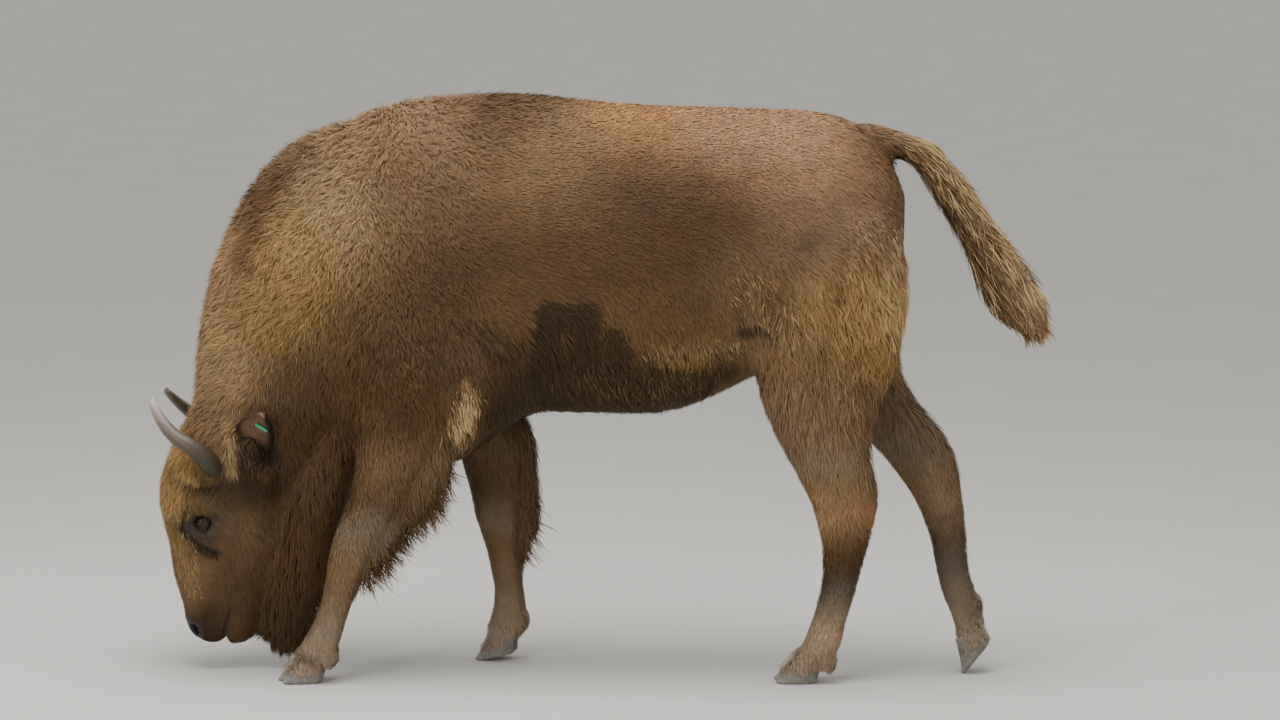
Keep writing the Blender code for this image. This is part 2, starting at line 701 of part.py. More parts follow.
# Outlines in the XZ plane; each region takes what earlier regions left
HEAD_REGION = ((-1.40, 0.98), (-0.945, 0.745), (-0.690, 0.490), (-0.690, -0.20), (-1.40, -0.20))
NECK_REGION = (
    (-1.40, 1.80), (-0.560, 1.80), (-0.585, 1.00), (-0.640, 0.30), (-0.640, -0.20), (-1.40, -0.20),
)
JAW_REGION = (
    (-0.958, -0.10), (-0.958, 0.092), (-0.942, 0.160), (-0.862, 0.240), (-0.700, 0.330), (-0.60, -0.10),
)
NOSE_REGION = ((-1.20, 0.172), (-1.026, 0.158), (-1.004, 0.108), (-1.012, -0.05), (-1.20, -0.05))
LIP_NOTCH = ((-0.974, 0.02), (-0.957, 0.090), (-0.942, 0.02))
FRONT_LEG_TOP = 0.660
HIND_LEG_TOP = 0.800
LEG_REGION_HALF = 0.25
BRISKET_HALF = 0.040  # the breast between the front legs stays with the trunk
# The front edge of the left front leg's region passes between that leg and the head
FRONT_LEFT_REGION = (
    (-0.345, FRONT_LEG_TOP), (-0.345, -0.20), (-0.900, -0.20), (-0.860, 0.00),
    (-0.780, 0.120), (-0.735, 0.300), (-0.690, 0.450), (-0.640, FRONT_LEG_TOP),
)


def block_outline(x_from, x_to, top):
    return ((x_from, -0.5), (x_to, -0.5), (x_to, top), (x_from, top))


def leg_region(sign, outline, inner):
    """The room of one leg, from its inner face outward."""
    return prism("leg_region", outline, LEG_REGION_HALF, y=sign * (inner + LEG_REGION_HALF))


def body_pieces(body):
    """Four legs, head, nose, jaw, neck and trunk, each parted from the rest in turn."""
    pieces = {}

    def part_off(whole, region, name):
        pieces[name] = split_off(whole, region, name)
        discard(region)

    front_right = block_outline(-0.475, -0.120, FRONT_LEG_TOP)
    hind_left = block_outline(0.355, 1.100, HIND_LEG_TOP)
    hind_right = block_outline(0.370, 1.100, HIND_LEG_TOP)
    part_off(body, leg_region(-1.0, FRONT_LEFT_REGION, BRISKET_HALF), "leg_front_left")
    part_off(body, leg_region(1.0, front_right, BRISKET_HALF), "leg_front_right")
    part_off(body, leg_region(-1.0, hind_left, 0.0), "leg_hind_left")
    part_off(body, leg_region(1.0, hind_right, 0.0), "leg_hind_right")
    part_off(body, prism("head_region", HEAD_REGION), "head")
    part_off(body, prism("neck_region", NECK_REGION), "neck")
    notch = prism("lip_notch", LIP_NOTCH)
    combine(pieces["head"], notch, "DIFFERENCE")
    discard(notch)
    part_off(pieces["head"], prism("jaw_region", JAW_REGION), "jaw")
    part_off(pieces["head"], prism("nose_region", NOSE_REGION), "nose")
    body.name = "trunk"
    pieces["trunk"] = body
    return pieces


def build():
    remove_everything()
    body = blended_body([
        trunk_mass(),
        neck_mass(),
        head_mass(),
        leg_mass("front_left_mass", FRONT_LEFT_LEG, -1.0),
        leg_mass("front_right_mass", FRONT_RIGHT_LEG, 1.0),
        leg_mass("hind_left_mass", HIND_LEFT_LEG, -1.0),
        leg_mass("hind_right_mass", HIND_RIGHT_LEG, 1.0),
    ])
    shell = grown(body, GAP * 1.5)
    hair = finish("coat", (0.36, 0.25, 0.17), 0.9)
    leather = finish("nose_leather", (0.13, 0.11, 0.10), 0.45)
    horn_sheath = finish("horn_sheath", (0.35, 0.31, 0.28), 0.5)
    hoof_horn = finish("hoof_horn", (0.42, 0.38, 0.34), 0.6)
    eye_gloss = finish("eye", (0.05, 0.03, 0.02), 0.08)
    tag_plastic = finish("tag_plastic", (0.10, 0.50, 0.33), 0.4)

    fitted = []
    for side, sign in SIDE_SIGNS:
        for piece, material in (
            (horn("horn_" + side, sign), horn_sheath),
            (ear("ear_" + side, sign), hair),
        ):
            combine(piece, shell, "DIFFERENCE")
            fitted.append((piece, material))
    for foot, x, z, y in DEWCLAWS:
        for claw_side, offset in (("outer", DEWCLAW_SPREAD), ("inner", -DEWCLAW_SPREAD)):
            centre = Vector((x, y + (offset if y > 0 else -offset), z))
            piece = ellipsoid("dewclaw_" + foot + "_" + claw_side, centre, DEWCLAW_RADII, 8, 6)
            combine(piece, shell, "DIFFERENCE")
            fitted.append((piece, hoof_horn))
    tag = ear_tag("ear_tag", -1.0)
    fitted.append((tag, tag_plastic))
    for name, table, y in (
        ("beard", BEARD_ROWS, 0.0),
        ("fringe_left", LEFT_FRINGE_ROWS, -FRINGE_PLACE),
        ("fringe_right", RIGHT_FRINGE_ROWS, FRINGE_PLACE),
    ):
        piece = hanging_hair(name, table, y)
        combine(piece, shell, "DIFFERENCE")
        fitted.append((piece, hair))
    dock, brush = tail_pieces()
    combine(dock, shell, "DIFFERENCE")
    fitted.append((dock, hair))
    fitted.append((brush, hair))
    discard(shell)

    pieces = body_pieces(body)
    for side, sign in SIDE_SIGNS:
        centre = mirrored(EYE_CENTRE, sign)
        dish_centre = centre + Vector((0.0, sign * EYE_DISH_OUT, 0.0))
        dish = ellipsoid("eye_dish", dish_centre, EYE_DISH_RADII, 16, 10)
        socket = ellipsoid("eye_socket", centre, (EYE_RADIUS + GAP,) * 3)
        combine(pieces["head"], dish, "DIFFERENCE")
        combine(pieces["head"], socket, "DIFFERENCE")
        discard(dish, socket)
        eye = ellipsoid("eye_" + side, centre, (EYE_RADIUS,) * 3)
        fitted.append((eye, eye_gloss))
        nostril = ellipsoid("nostril", mirrored(NOSTRIL_CENTRE, sign), NOSTRIL_RADII)
        combine(pieces["nose"], nostril, "DIFFERENCE")
        discard(nostril)

    for foot, sign, toe_x, y, yaw, pitch in FEET:
        frame = foot_frame(sign, toe_x, y, yaw, pitch)
        tool = coronet_tool("coronet_tool", frame)
        combine(pieces["leg_" + foot], tool, "DIFFERENCE")
        discard(tool)
        for claw_side, offset in (("outer", sign * CLAW_SPREAD), ("inner", -sign * CLAW_SPREAD)):
            piece = claw("hoof_" + foot + "_" + claw_side, offset, frame)
            if pitch:
                end_at_floor(piece)
            fitted.append((piece, hoof_horn))

    for name, piece in pieces.items():
        fitted.append((piece, leather if name == "nose" else hair))
    place_all(fitted)


def place_all(fitted):
    """Gives each piece its material, and hangs all on one empty that centres the animal over the origin."""
    corners = [piece.matrix_world @ vert.co for piece, _ in fitted for vert in piece.data.vertices]
    middle = Vector([(min(c[k] for c in corners) + max(c[k] for c in corners)) / 2 for k in range(3)])
    lowest = min(c.z for c in corners)
    wisent = bpy.data.objects.new("wisent", None)
    bpy.context.collection.objects.link(wisent)
    wisent.location = (-middle.x, -middle.y, -lowest)
    for piece, material in fitted:
        piece.data.materials.clear()
        piece.data.materials.append(material)
        piece.parent = wisent
        piece.data.shade_smooth()
        piece.data.set_sharp_from_angle(angle=radians(CREASE))


build()
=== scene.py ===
"""The looks of a young wisent that stands with its head lowered to graze.

Metres, +Z up. The animal faces -X, and its left side faces -Y. One skin lies under the coat, by the
coat's depth. The coat is made of thin tapered tufts that follow its lie, and skin and tufts take
their colours from the same markings, with painted shade and painted light among them.
"""

from math import cos, pi, radians, sin, tau

import bmesh
import bpy
import numpy as np
from mathutils import Matrix, Vector
from mathutils.bvhtree import BVHTree


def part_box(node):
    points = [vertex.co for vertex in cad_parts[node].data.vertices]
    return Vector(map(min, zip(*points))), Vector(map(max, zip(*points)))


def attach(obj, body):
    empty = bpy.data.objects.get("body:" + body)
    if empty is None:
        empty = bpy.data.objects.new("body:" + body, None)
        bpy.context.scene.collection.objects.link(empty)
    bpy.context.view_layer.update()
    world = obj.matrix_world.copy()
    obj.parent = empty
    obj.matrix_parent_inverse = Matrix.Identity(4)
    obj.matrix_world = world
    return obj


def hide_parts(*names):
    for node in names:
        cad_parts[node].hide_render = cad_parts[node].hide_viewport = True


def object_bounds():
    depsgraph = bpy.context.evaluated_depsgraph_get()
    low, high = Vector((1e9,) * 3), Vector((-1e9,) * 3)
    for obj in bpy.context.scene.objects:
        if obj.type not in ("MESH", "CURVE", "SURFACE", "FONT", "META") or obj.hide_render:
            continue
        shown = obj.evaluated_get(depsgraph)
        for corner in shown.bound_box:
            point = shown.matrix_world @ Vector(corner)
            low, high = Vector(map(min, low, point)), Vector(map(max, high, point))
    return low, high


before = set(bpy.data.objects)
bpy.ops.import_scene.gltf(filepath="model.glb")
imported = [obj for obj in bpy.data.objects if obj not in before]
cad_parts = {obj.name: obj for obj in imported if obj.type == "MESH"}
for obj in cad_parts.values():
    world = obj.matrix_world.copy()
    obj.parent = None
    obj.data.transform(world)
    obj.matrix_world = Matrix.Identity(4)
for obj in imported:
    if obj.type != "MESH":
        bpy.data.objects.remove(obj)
cad_low, cad_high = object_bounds()
LENGTH = cad_high.x - cad_low.x
HEIGHT = cad_high.z - cad_low.z
HALF_WIDTH = (cad_high.y - cad_low.y) / 2
SIDES = (("left", -1.0), ("right", 1.0))
LEGS = ("front_left", "front_right", "hind_left", "hind_right")
CLAWS = ["hoof_" + leg + "_" + side for leg in LEGS for side in ("outer", "inner")]
DEWCLAWS = ["dewclaw_" + leg + "_" + side for leg in LEGS for side in ("outer", "inner")]
rng = np.random.default_rng(7)

MM = 0.001

# --- the animal in shares of its own size ----------------------------------------------------------------


def place(along, up, out=0.0, sign=-1.0):
    """A point: share of the length from the nose, of the height from the floor, of the half width."""
    return Vector((cad_low.x + along * LENGTH, sign * out * HALF_WIDTH, up * HEIGHT))


def between(low, high, share):
    return low + share * (high - low)


def in_box(node, fx, fy, fz):
    """A point at shares of a node's box; fy runs from the middle plane's side of the box outward."""
    low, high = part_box(node)
    inner, outer = (low.y, high.y) if high.y + low.y > 0 else (high.y, low.y)
    return Vector((between(low.x, high.x, fx), between(inner, outer, fy), between(low.z, high.z, fz)))


def box_centre(node):
    low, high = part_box(node)
    return (low + high) / 2


def eye_radius(side):
    low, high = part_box("eye_" + side)
    return (high.z - low.z) / 2


# --- colours ---------------------------------------------------------------------------------------------


def linear(code):
    """An sRGB hex value as linear light."""
    parts = [int(code[i:i + 2], 16) / 255 for i in (1, 3, 5)]
    return tuple(c / 12.92 if c <= 0.04045 else ((c + 0.055) / 1.055) ** 2.4 for c in parts)


HAIR = {
    "honey": "#a8824a",
    "golden": "#99753c",
    "amber": "#7f6240",
    "sand": "#b08f62",
    "fawn": "#a07a57",
    "russet": "#8f7048",
    "umber": "#6f5639",
    "walnut": "#6a4e2d",
    "chestnut": "#5c442c",
    "bark": "#553b20",
    "chocolate": "#3a2a15",
    "soot": "#1c150f",
    "grey_brown": "#816448",
    "dun": "#89745b",
    "mouse": "#5b5144",
    "ash": "#a88e72",
    "straw": "#c0a06a",
    "wheat": "#cfae7c",
    "cream": "#e2c797",
    "cocoa": "#4a361f",
    "pitch": "#2c2016",
    "slate": "#4a4138",
    "copper": "#a3764b",
}
HAIR_LINEAR = {name: np.array(linear(code)) for name, code in HAIR.items()}
LEATHER = linear("#2b2320")
LID = linear("#3d362b")
EAR_LINING = linear("#765843")

# --- the coat, place by place ----------------------------------------------------------------------------

# name, part, share of length, share of height, reach (mm), lie along X and Z, length, depth and width of
# the tufts (mm), how tousled they are, colour
COAT = (
    ("poll", "head", 0.058, 0.457, 70, (-0.5, -0.9), 36, 22, 1.3, 0.60, "grey_brown"),
    ("forehead", "head", 0.021, 0.388, 65, (-0.1, -1.0), 30, 17, 1.15, 0.50, "honey"),
    ("brow", "head", 0.012, 0.318, 55, (0.05, -1.0), 25, 13, 1.1, 0.40, "honey"),
    ("horn_front", "head", 0.044, 0.346, 30, (-0.2, -1.0), 20, 10, 1.1, 0.30, "chestnut"),
    ("over_eye", "head", 0.052, 0.298, 24, (0.3, -0.9), 12, 5, 0.9, 0.10, "cocoa"),
    ("eye_front", "head", 0.033, 0.266, 20, (0.2, -1.0), 8, 3, 0.9, 0.05, "cocoa"),
    ("eye_under", "head", 0.050, 0.232, 20, (0.5, -0.9), 9, 3, 0.9, 0.05, "cocoa"),
    ("eye_behind", "head", 0.070, 0.268, 20, (0.6, -0.7), 9, 4, 0.9, 0.05, "slate"),
    ("snout_bridge", "head", 0.020, 0.200, 45, (0.15, -1.0), 19, 7, 1.0, 0.20, "russet"),
    ("snout_side", "head", 0.042, 0.184, 38, (0.35, -1.0), 19, 6, 1.0, 0.25, "amber"),
    ("muzzle", "head", 0.032, 0.126, 26, (0.25, -1.0), 8, 3, 0.9, 0.10, "umber"),
    ("upper_lip", "head", 0.060, 0.086, 30, (0.2, -1.0), 8, 2, 0.9, 0.10, "chocolate"),
    ("chin", "jaw", 0.092, 0.080, 28, (0.1, -1.0), 13, 4, 1.0, 0.15, "chestnut"),
    ("cheek", "head", 0.088, 0.266, 60, (0.5, -0.9), 15, 7, 1.05, 0.12, "umber"),
    ("low_cheek", "head", 0.088, 0.166, 48, (0.3, -1.0), 14, 6, 1.0, 0.12, "chestnut"),
    ("jaw_angle", "head", 0.128, 0.232, 45, (0.3, -1.0), 26, 13, 1.3, 0.25, "umber"),
    # under_horn: the coat's own dark hair, darker as painted shadow under the horn.
    ("under_horn", "head", 0.084, 0.336, 42, (0.3, -1.0), 18, 9, 1.1, 0.15, "pitch"),
    # under_ear: dark hair, darker still as painted shade under the hanging ear.
    ("under_ear", "head", 0.118, 0.346, 36, (0.1, -1.0), 36, 18, 1.4, 0.30, "chocolate"),
    ("ear_front", "head", 0.092, 0.408, 24, (0.0, -1.0), 32, 20, 1.3, 0.60, "amber"),
    ("nape", "neck", 0.064, 0.540, 75, (-0.8, -0.6), 29, 15, 1.55, 1.00, "sand"),
    ("crest_low", "neck", 0.084, 0.680, 75, (-0.8, -0.6), 30, 16, 1.55, 1.10, "fawn"),
    ("crest_high", "neck", 0.145, 0.818, 75, (-0.75, -0.6), 29, 16, 1.55, 1.10, "chestnut"),
    ("crest_top", "neck", 0.226, 0.925, 70, (-0.6, -0.4), 28, 15, 1.55, 1.10, "amber"),
    ("neck_high", "neck", 0.155, 0.692, 90, (-0.6, -0.8), 27, 13, 1.55, 1.00, "honey"),
    ("neck_middle", "neck", 0.208, 0.780, 90, (-0.5, -0.8), 26, 12, 1.55, 1.00, "sand"),
    ("neck_centre", "neck", 0.224, 0.638, 70, (-0.3, -1.0), 27, 14, 1.55, 0.90, "walnut"),
    ("neck_low", "neck", 0.166, 0.520, 70, (-0.1, -1.0), 30, 15, 1.55, 0.80, "chestnut"),
    ("throat", "neck", 0.208, 0.443, 60, (0.1, -1.0), 34, 15, 1.55, 0.70, "walnut"),
    ("behind_ear", "neck", 0.135, 0.430, 50, (-0.1, -1.0), 28, 11, 1.55, 0.70, "chestnut"),
    ("withers", "trunk", 0.287, 0.960, 80, (0.4, -0.5), 28, 15, 1.55, 0.95, "fawn"),
    ("hump", "trunk", 0.390, 0.990, 75, (0.9, -0.2), 31, 12, 1.55, 0.60, "bark"),
    ("shoulder_top", "trunk", 0.300, 0.834, 90, (0.6, -0.7), 22, 10, 1.55, 0.90, "umber"),
    ("shoulder", "trunk", 0.300, 0.708, 90, (0.6, -0.8), 22, 10, 1.55, 0.70, "bark"),
    ("shoulder_low", "trunk", 0.292, 0.584, 75, (0.3, -1.0), 24, 10, 1.55, 0.35, "bark"),
    ("elbow", "trunk", 0.354, 0.554, 45, (0.35, -1.0), 28, 9, 1.9, 0.25, "chestnut"),
    ("armpit", "trunk", 0.345, 0.464, 32, (0.1, -1.0), 51, 14, 2.2, 0.35, "walnut"),
    ("rib_top", "trunk", 0.435, 0.886, 90, (1.0, -0.1), 20, 6, 1.9, 0.18, "amber"),
    ("rib", "trunk", 0.435, 0.748, 90, (0.9, -0.3), 19, 5, 1.9, 0.18, "bark"),
    ("rib_low", "trunk", 0.422, 0.644, 60, (0.8, -0.5), 21, 5, 1.9, 0.20, "walnut"),
    ("elbow_patch", "trunk", 0.448, 0.560, 65, (0.25, -1.0), 42, 14, 2.2, 0.30, "chocolate"),
    # chest_floor, belly and belly_rear: the coat's own dark hair, made darker still as painted shade on the
    # underside.
    ("chest_floor", "trunk", 0.432, 0.480, 60, (0.15, -1.0), 48, 15, 2.2, 0.35, "chocolate"),
    ("belly", "trunk", 0.557, 0.485, 60, (0.1, -1.0), 49, 16, 2.2, 0.60, "chocolate"),
    ("belly_rear", "trunk", 0.620, 0.512, 50, (0.2, -1.0), 42, 14, 2.2, 0.60, "walnut"),
    ("back", "trunk", 0.548, 0.970, 80, (1.0, 0.2), 18, 5, 1.9, 0.16, "copper"),
    ("back_side", "trunk", 0.548, 0.878, 80, (1.0, 0.15), 18, 5, 1.9, 0.18, "cocoa"),
    ("barrel", "trunk", 0.557, 0.748, 90, (0.85, -0.4), 19, 5, 1.9, 0.18, "bark"),
    ("barrel_low", "trunk", 0.566, 0.624, 70, (0.4, -0.9), 22, 6, 1.9, 0.25, "walnut"),
    ("loin", "trunk", 0.638, 0.955, 80, (1.0, -0.1), 16, 5, 1.9, 0.14, "fawn"),
    ("loin_side", "trunk", 0.638, 0.830, 80, (0.95, -0.3), 17, 5, 1.9, 0.16, "bark"),
    ("hip", "trunk", 0.706, 0.920, 80, (1.0, -0.25), 16, 5, 1.9, 0.12, "fawn"),
    ("croup", "trunk", 0.772, 0.920, 70, (0.9, -0.5), 16, 5, 1.9, 0.12, "fawn"),
    ("rump", "trunk", 0.728, 0.796, 80, (0.9, -0.5), 16, 5, 1.9, 0.14, "grey_brown"),
    ("flank_high", "trunk", 0.652, 0.692, 65, (0.5, -0.9), 20, 7, 1.9, 0.25, "umber"),
    ("flank", "trunk", 0.690, 0.668, 35, (0.2, -1.0), 34, 13, 2.0, 1.10, "amber"),
    ("flank_fold", "trunk", 0.674, 0.585, 26, (0.5, -0.9), 22, 6, 1.9, 0.30, "amber"),
    ("belly_wisps", "trunk", 0.602, 0.570, 30, (0.1, -1.0), 41, 14, 2.2, 0.80, "golden"),
    ("thigh_front", "trunk", 0.715, 0.658, 60, (0.15, -1.0), 46, 10, 1.9, 0.70, "russet"),
    ("thigh", "trunk", 0.800, 0.658, 65, (0.25, -1.0), 58, 18, 2.0, 0.70, "honey"),
    # thigh_fold: painted shade in the furrow down the thigh.
    ("thigh_fold", "trunk", 0.766, 0.690, 18, (0.3, -1.0), 20, 5, 1.9, 0.20, "chestnut"),
    ("seat", "trunk", 0.810, 0.796, 60, (0.6, -0.8), 16, 5, 1.9, 0.16, "grey_brown"),
    # seat_edge: pale locks, given a paler colour than their own as painted light on the edge that faces down
    # into shade.
    ("seat_edge", "trunk", 0.836, 0.692, 45, (0.2, -1.0), 78, 20, 2.0, 0.90, "wheat"),
    ("thigh_low", "trunk", 0.737, 0.554, 60, (0.2, -1.0), 58, 14, 2.0, 0.70, "amber"),
    ("beard_top", "beard", 0.205, 0.390, 80, (0.0, -1.0), 50, 24, 2.0, 0.30, "chestnut"),
    ("beard_middle", "beard", 0.178, 0.235, 80, (0.0, -1.0), 56, 24, 1.9, 0.30, "bark"),
    ("beard_tip", "beard", 0.165, 0.105, 80, (-0.1, -1.0), 44, 22, 1.9, 0.30, "cocoa"),
    ("fringe_top", "fringe", 0.300, 0.380, 70, (0.35, -1.0), 84, 18, 2.3, 0.80, "umber"),
    ("fringe_low", "fringe", 0.290, 0.250, 70, (0.45, -1.0), 76, 16, 2.2, 0.80, "chestnut"),
    ("tail_root", "tail", 0.793, 0.940, 45, (1.0, 0.1), 34, 9, 2.0, 0.25, "cocoa"),
    ("tail_bend", "tail", 0.850, 0.915, 45, (0.9, -0.4), 58, 12, 2.1, 0.35, "walnut"),
    ("brush_top", "brush", 0.872, 0.872, 45, (0.52, -0.85), 95, 20, 2.1, 0.28, "umber"),
    ("brush_middle", "brush", 0.925, 0.760, 50, (0.52, -0.85), 115, 22, 2.1, 0.28, "amber"),
    ("brush_low", "brush", 0.962, 0.670, 50, (0.50, -0.87), 92, 20, 2.0, 0.32, "fawn"),
    ("brush_tip", "brush", 0.990, 0.610, 45, (0.45, -0.9), 52, 18, 2.0, 0.32, "sand"),
)

# Finer markings, and painted shade in folds, creases, hollows and under horns and ears, with some painted
# light: name, from and to (shares of length and height), half width and softness (mm), colour, strength
MARKINGS_AND_PAINTED_SHADE = (
    ("patch_top", (0.447, 0.640), (0.492, 0.640), 34, 4, "chocolate", 0.92),
    ("elbow_shade", (0.447, 0.640), (0.440, 0.521), 36, 5, "chocolate", 0.95),
    ("flank_shade", (0.488, 0.640), (0.490, 0.521), 38, 5, "chocolate", 0.95),
    ("flank_shade_low", (0.520, 0.603), (0.530, 0.521), 34, 6, "chocolate", 0.92),
    ("belly_shade", (0.440, 0.520), (0.604, 0.522), 58, 8, "chocolate", 0.90),
    ("rear_belly_shade", (0.604, 0.518), (0.638, 0.550), 28, 10, "chocolate", 0.80),
    ("belly_gold", (0.562, 0.582), (0.615, 0.600), 9, 8, "amber", 0.75),
    ("groin_gold", (0.615, 0.600), (0.654, 0.586), 9, 8, "amber", 0.80),
    ("flank_gold", (0.672, 0.680), (0.700, 0.665), 30, 16, "amber", 0.70),
    # Flank pit: painted shade in the hollow by the stifle fold.
    ("flank_pit_shade", (0.658, 0.622), (0.694, 0.616), 14, 8, "soot", 0.75),
    # The three thigh_edge rows: painted shade along the furrow down the thigh.
    ("thigh_edge_high", (0.803, 0.741), (0.765, 0.690), 4, 5, "bark", 0.65),
    ("thigh_edge", (0.763, 0.685), (0.770, 0.605), 5, 6, "bark", 0.55),
    ("thigh_edge_low", (0.770, 0.605), (0.787, 0.546), 5, 6, "chestnut", 0.50),
    # The four crease rows: painted shade in the skin creases behind the elbow.
    ("crease_shade_a", (0.357, 0.626), (0.388, 0.568), 4, 4, "soot", 0.55),
    ("crease_shade_b", (0.366, 0.630), (0.397, 0.571), 4, 4, "soot", 0.55),
    ("crease_shade_c", (0.375, 0.634), (0.406, 0.574), 4, 4, "soot", 0.55),
    ("crease_shade_d", (0.384, 0.636), (0.414, 0.580), 4, 4, "soot", 0.50),
    # The eye_fold rows and eye_pit: painted shade in the grooves and the hollow carved round the eye, the
    # dark crescent of the socket's fold.
    ("eye_fold_high", (0.0430, 0.3010), (0.0355, 0.2770), 5, 4, "soot", 0.85),
    ("eye_fold", (0.0355, 0.2770), (0.0362, 0.2560), 8, 4, "soot", 1.00),
    ("eye_fold_low", (0.0362, 0.2560), (0.0480, 0.2330), 8, 4, "soot", 1.00),
    ("eye_pit", (0.0530, 0.2260), (0.0700, 0.2170), 12, 7, "soot", 0.95),
    ("eye_shade", (0.0490, 0.2620), (0.0620, 0.2480), 24, 14, "slate", 0.80),
    ("lid_line", (0.0560, 0.2800), (0.0740, 0.2830), 4, 4, "soot", 0.80),
    # brow_pit: painted shadow under the horn, in the hollow carved there.
    ("brow_pit", (0.0440, 0.3340), (0.0750, 0.3320), 8, 5, "soot", 0.80),
    # The three crest rows: painted shade, a dark band down the side of the neck's crest.
    ("crest_shade_high", (0.181, 0.905), (0.133, 0.811), 22, 20, "bark", 0.60),
    ("crest_shade", (0.133, 0.811), (0.113, 0.725), 24, 20, "bark", 0.60),
    ("crest_shade_low", (0.113, 0.725), (0.120, 0.648), 22, 20, "chestnut", 0.45),
    # The elbow tuft rows: pale hair, made paler still as painted light where the tuft hangs in shade.
    ("elbow_tuft_top", (0.357, 0.532), (0.357, 0.500), 8, 7, "sand", 0.70),
    ("elbow_tuft", (0.360, 0.492), (0.344, 0.440), 18, 10, "wheat", 0.80),
    # under_ear: painted shade under the hanging ear, over dark hair.
    ("under_ear", (0.110, 0.395), (0.132, 0.395), 30, 14, "pitch", 0.85),
    ("fringe_by_ear", (0.0945, 0.450), (0.0925, 0.362), 8, 5, "sand", 0.60),
    ("horn_foot", (0.037, 0.357), (0.052, 0.343), 9, 7, "straw", 0.70),
)

# Single tufts of another colour among the rest: name, from, to, half width and softness (mm), colour, and
# how many of the tufts have it
STREAKS = (
    ("snout", (0.030, 0.225), (0.036, 0.150), 34, 16, "straw", 0.20),
    ("forehead", (0.020, 0.400), (0.020, 0.300), 45, 25, "straw", 0.50),
    ("by_ear", (0.0945, 0.450), (0.0925, 0.362), 14, 8, "straw", 0.25),
    ("below_ear", (0.112, 0.400), (0.128, 0.370), 22, 12, "russet", 0.20),
    ("forehead_dark", (0.020, 0.400), (0.020, 0.300), 45, 25, "walnut", 0.10),
    ("neck", (0.100, 0.560), (0.230, 0.800), 110, 60, "sand", 0.15),
    ("neck_shadow", (0.100, 0.560), (0.230, 0.800), 130, 60, "bark", 0.20),
    ("crest", (0.070, 0.560), (0.230, 0.940), 50, 30, "sand", 0.15),
    ("shoulder", (0.270, 0.850), (0.290, 0.600), 110, 60, "umber", 0.20),
    ("elbow", (0.358, 0.500), (0.345, 0.440), 36, 12, "chocolate", 0.25),
    # elbow_light: pale tufts, partly the hair's own colour, partly painted light on the shaded tuft.
    ("elbow_light", (0.358, 0.500), (0.345, 0.440), 34, 10, "wheat", 0.30),
    ("belly", (0.476, 0.535), (0.565, 0.520), 42, 22, "umber", 0.20),
    ("belly_rear", (0.580, 0.530), (0.630, 0.540), 36, 20, "umber", 0.20),
    ("groin", (0.560, 0.580), (0.654, 0.590), 20, 12, "sand", 0.25),
    ("groin_dark", (0.560, 0.575), (0.654, 0.590), 24, 14, "chocolate", 0.25),
    ("flank", (0.670, 0.690), (0.710, 0.640), 60, 30, "straw", 0.12),
    ("flank_dark", (0.670, 0.690), (0.710, 0.640), 60, 30, "bark", 0.25),
    ("thigh", (0.810, 0.740), (0.750, 0.500), 90, 40, "sand", 0.22),
    ("thigh_dark", (0.810, 0.740), (0.750, 0.500), 90, 40, "bark", 0.18),
    ("brush", (0.860, 0.900), (0.990, 0.620), 70, 20, "wheat", 0.30),
    ("brush_dark", (0.880, 0.840), (0.990, 0.620), 70, 20, "cocoa", 0.30),
    # seat_edge: cream tufts, the pale locks made paler as painted light on the shaded edge.
    ("seat_edge", (0.838, 0.760), (0.832, 0.620), 40, 16, "cream", 0.45),
)

# share of the animal's height, colour, then length, depth and width of the tufts (mm)
FRONT_LEG_COAT = (
    (0.440, "amber", 42, 12, 2.0),
    (0.374, "umber", 36, 10, 1.9),
    (0.318, "chestnut", 28, 8, 1.8),
    (0.263, "dun", 20, 6, 1.6),
    (0.215, "amber", 16, 5, 1.4),
    (0.166, "grey_brown", 13, 4, 1.3),
    (0.110, "dun", 14, 4, 1.3),
    (0.030, "ash", 22, 5, 1.3),
)
HIND_LEG_COAT = (
    (0.520, "grey_brown", 58, 16, 2.0),
    (0.457, "grey_brown", 58, 16, 2.0),
    (0.402, "dun", 46, 13, 2.0),
    (0.346, "russet", 28, 8, 1.8),
    (0.298, "fawn", 22, 7, 1.7),
    (0.255, "walnut", 20, 6, 1.5),
    (0.215, "cocoa", 18, 6, 1.4),
    (0.170, "mouse", 14, 4, 1.3),
    (0.120, "dun", 14, 4, 1.3),
    (0.080, "ash", 17, 4, 1.3),
    (0.030, "ash", 22, 5, 1.3),
)
# Parts whose coats run into each other
NEIGHBOURS = {
    "head": ("head", "jaw", "neck"),
    "jaw": ("jaw", "head"),
    "nose": ("head", "nose"),
    "neck": ("neck", "head", "trunk"),
    "trunk": ("trunk", "neck", "tail"),
    "tail": ("tail", "trunk", "brush"),
    "tail_brush": ("brush", "tail"),
    "beard": ("beard", "neck"),
    "fringe_left": ("fringe",),
    "fringe_right": ("fringe",),
}

# Columns of the coat's numbers at each point, with the colour last
LIE_X, LIE_Z, TUFT_LENGTH, TUFT_DEPTH, TUFT_WIDTH, TOUSLE = range(6)
COLOUR = slice(6, 9)
FLESH = ("trunk", "neck", "head", "jaw", "nose", "tail") + tuple("leg_" + leg for leg in LEGS)
LONG_HAIR = ("beard", "fringe_left", "fringe_right", "tail_brush")
WELD = 0.01 * MM  # corners of a solid nearer than this are one
SKIN_GRAIN = 10.0 * MM
FETLOCK_TOP = 0.2 * HEIGHT
HEAD_FLOOR_TO_POLL = 0.46  # shares of the height and the length that hold the finely meshed face
FACE_LENGTH = 0.145
FAIRING_ROUNDS = 16


# --- small geometry tools --------------------------------------------------------------------------------


def unit(vectors):
    return vectors / np.maximum(np.linalg.norm(vectors, axis=-1, keepdims=True), 1e-9)


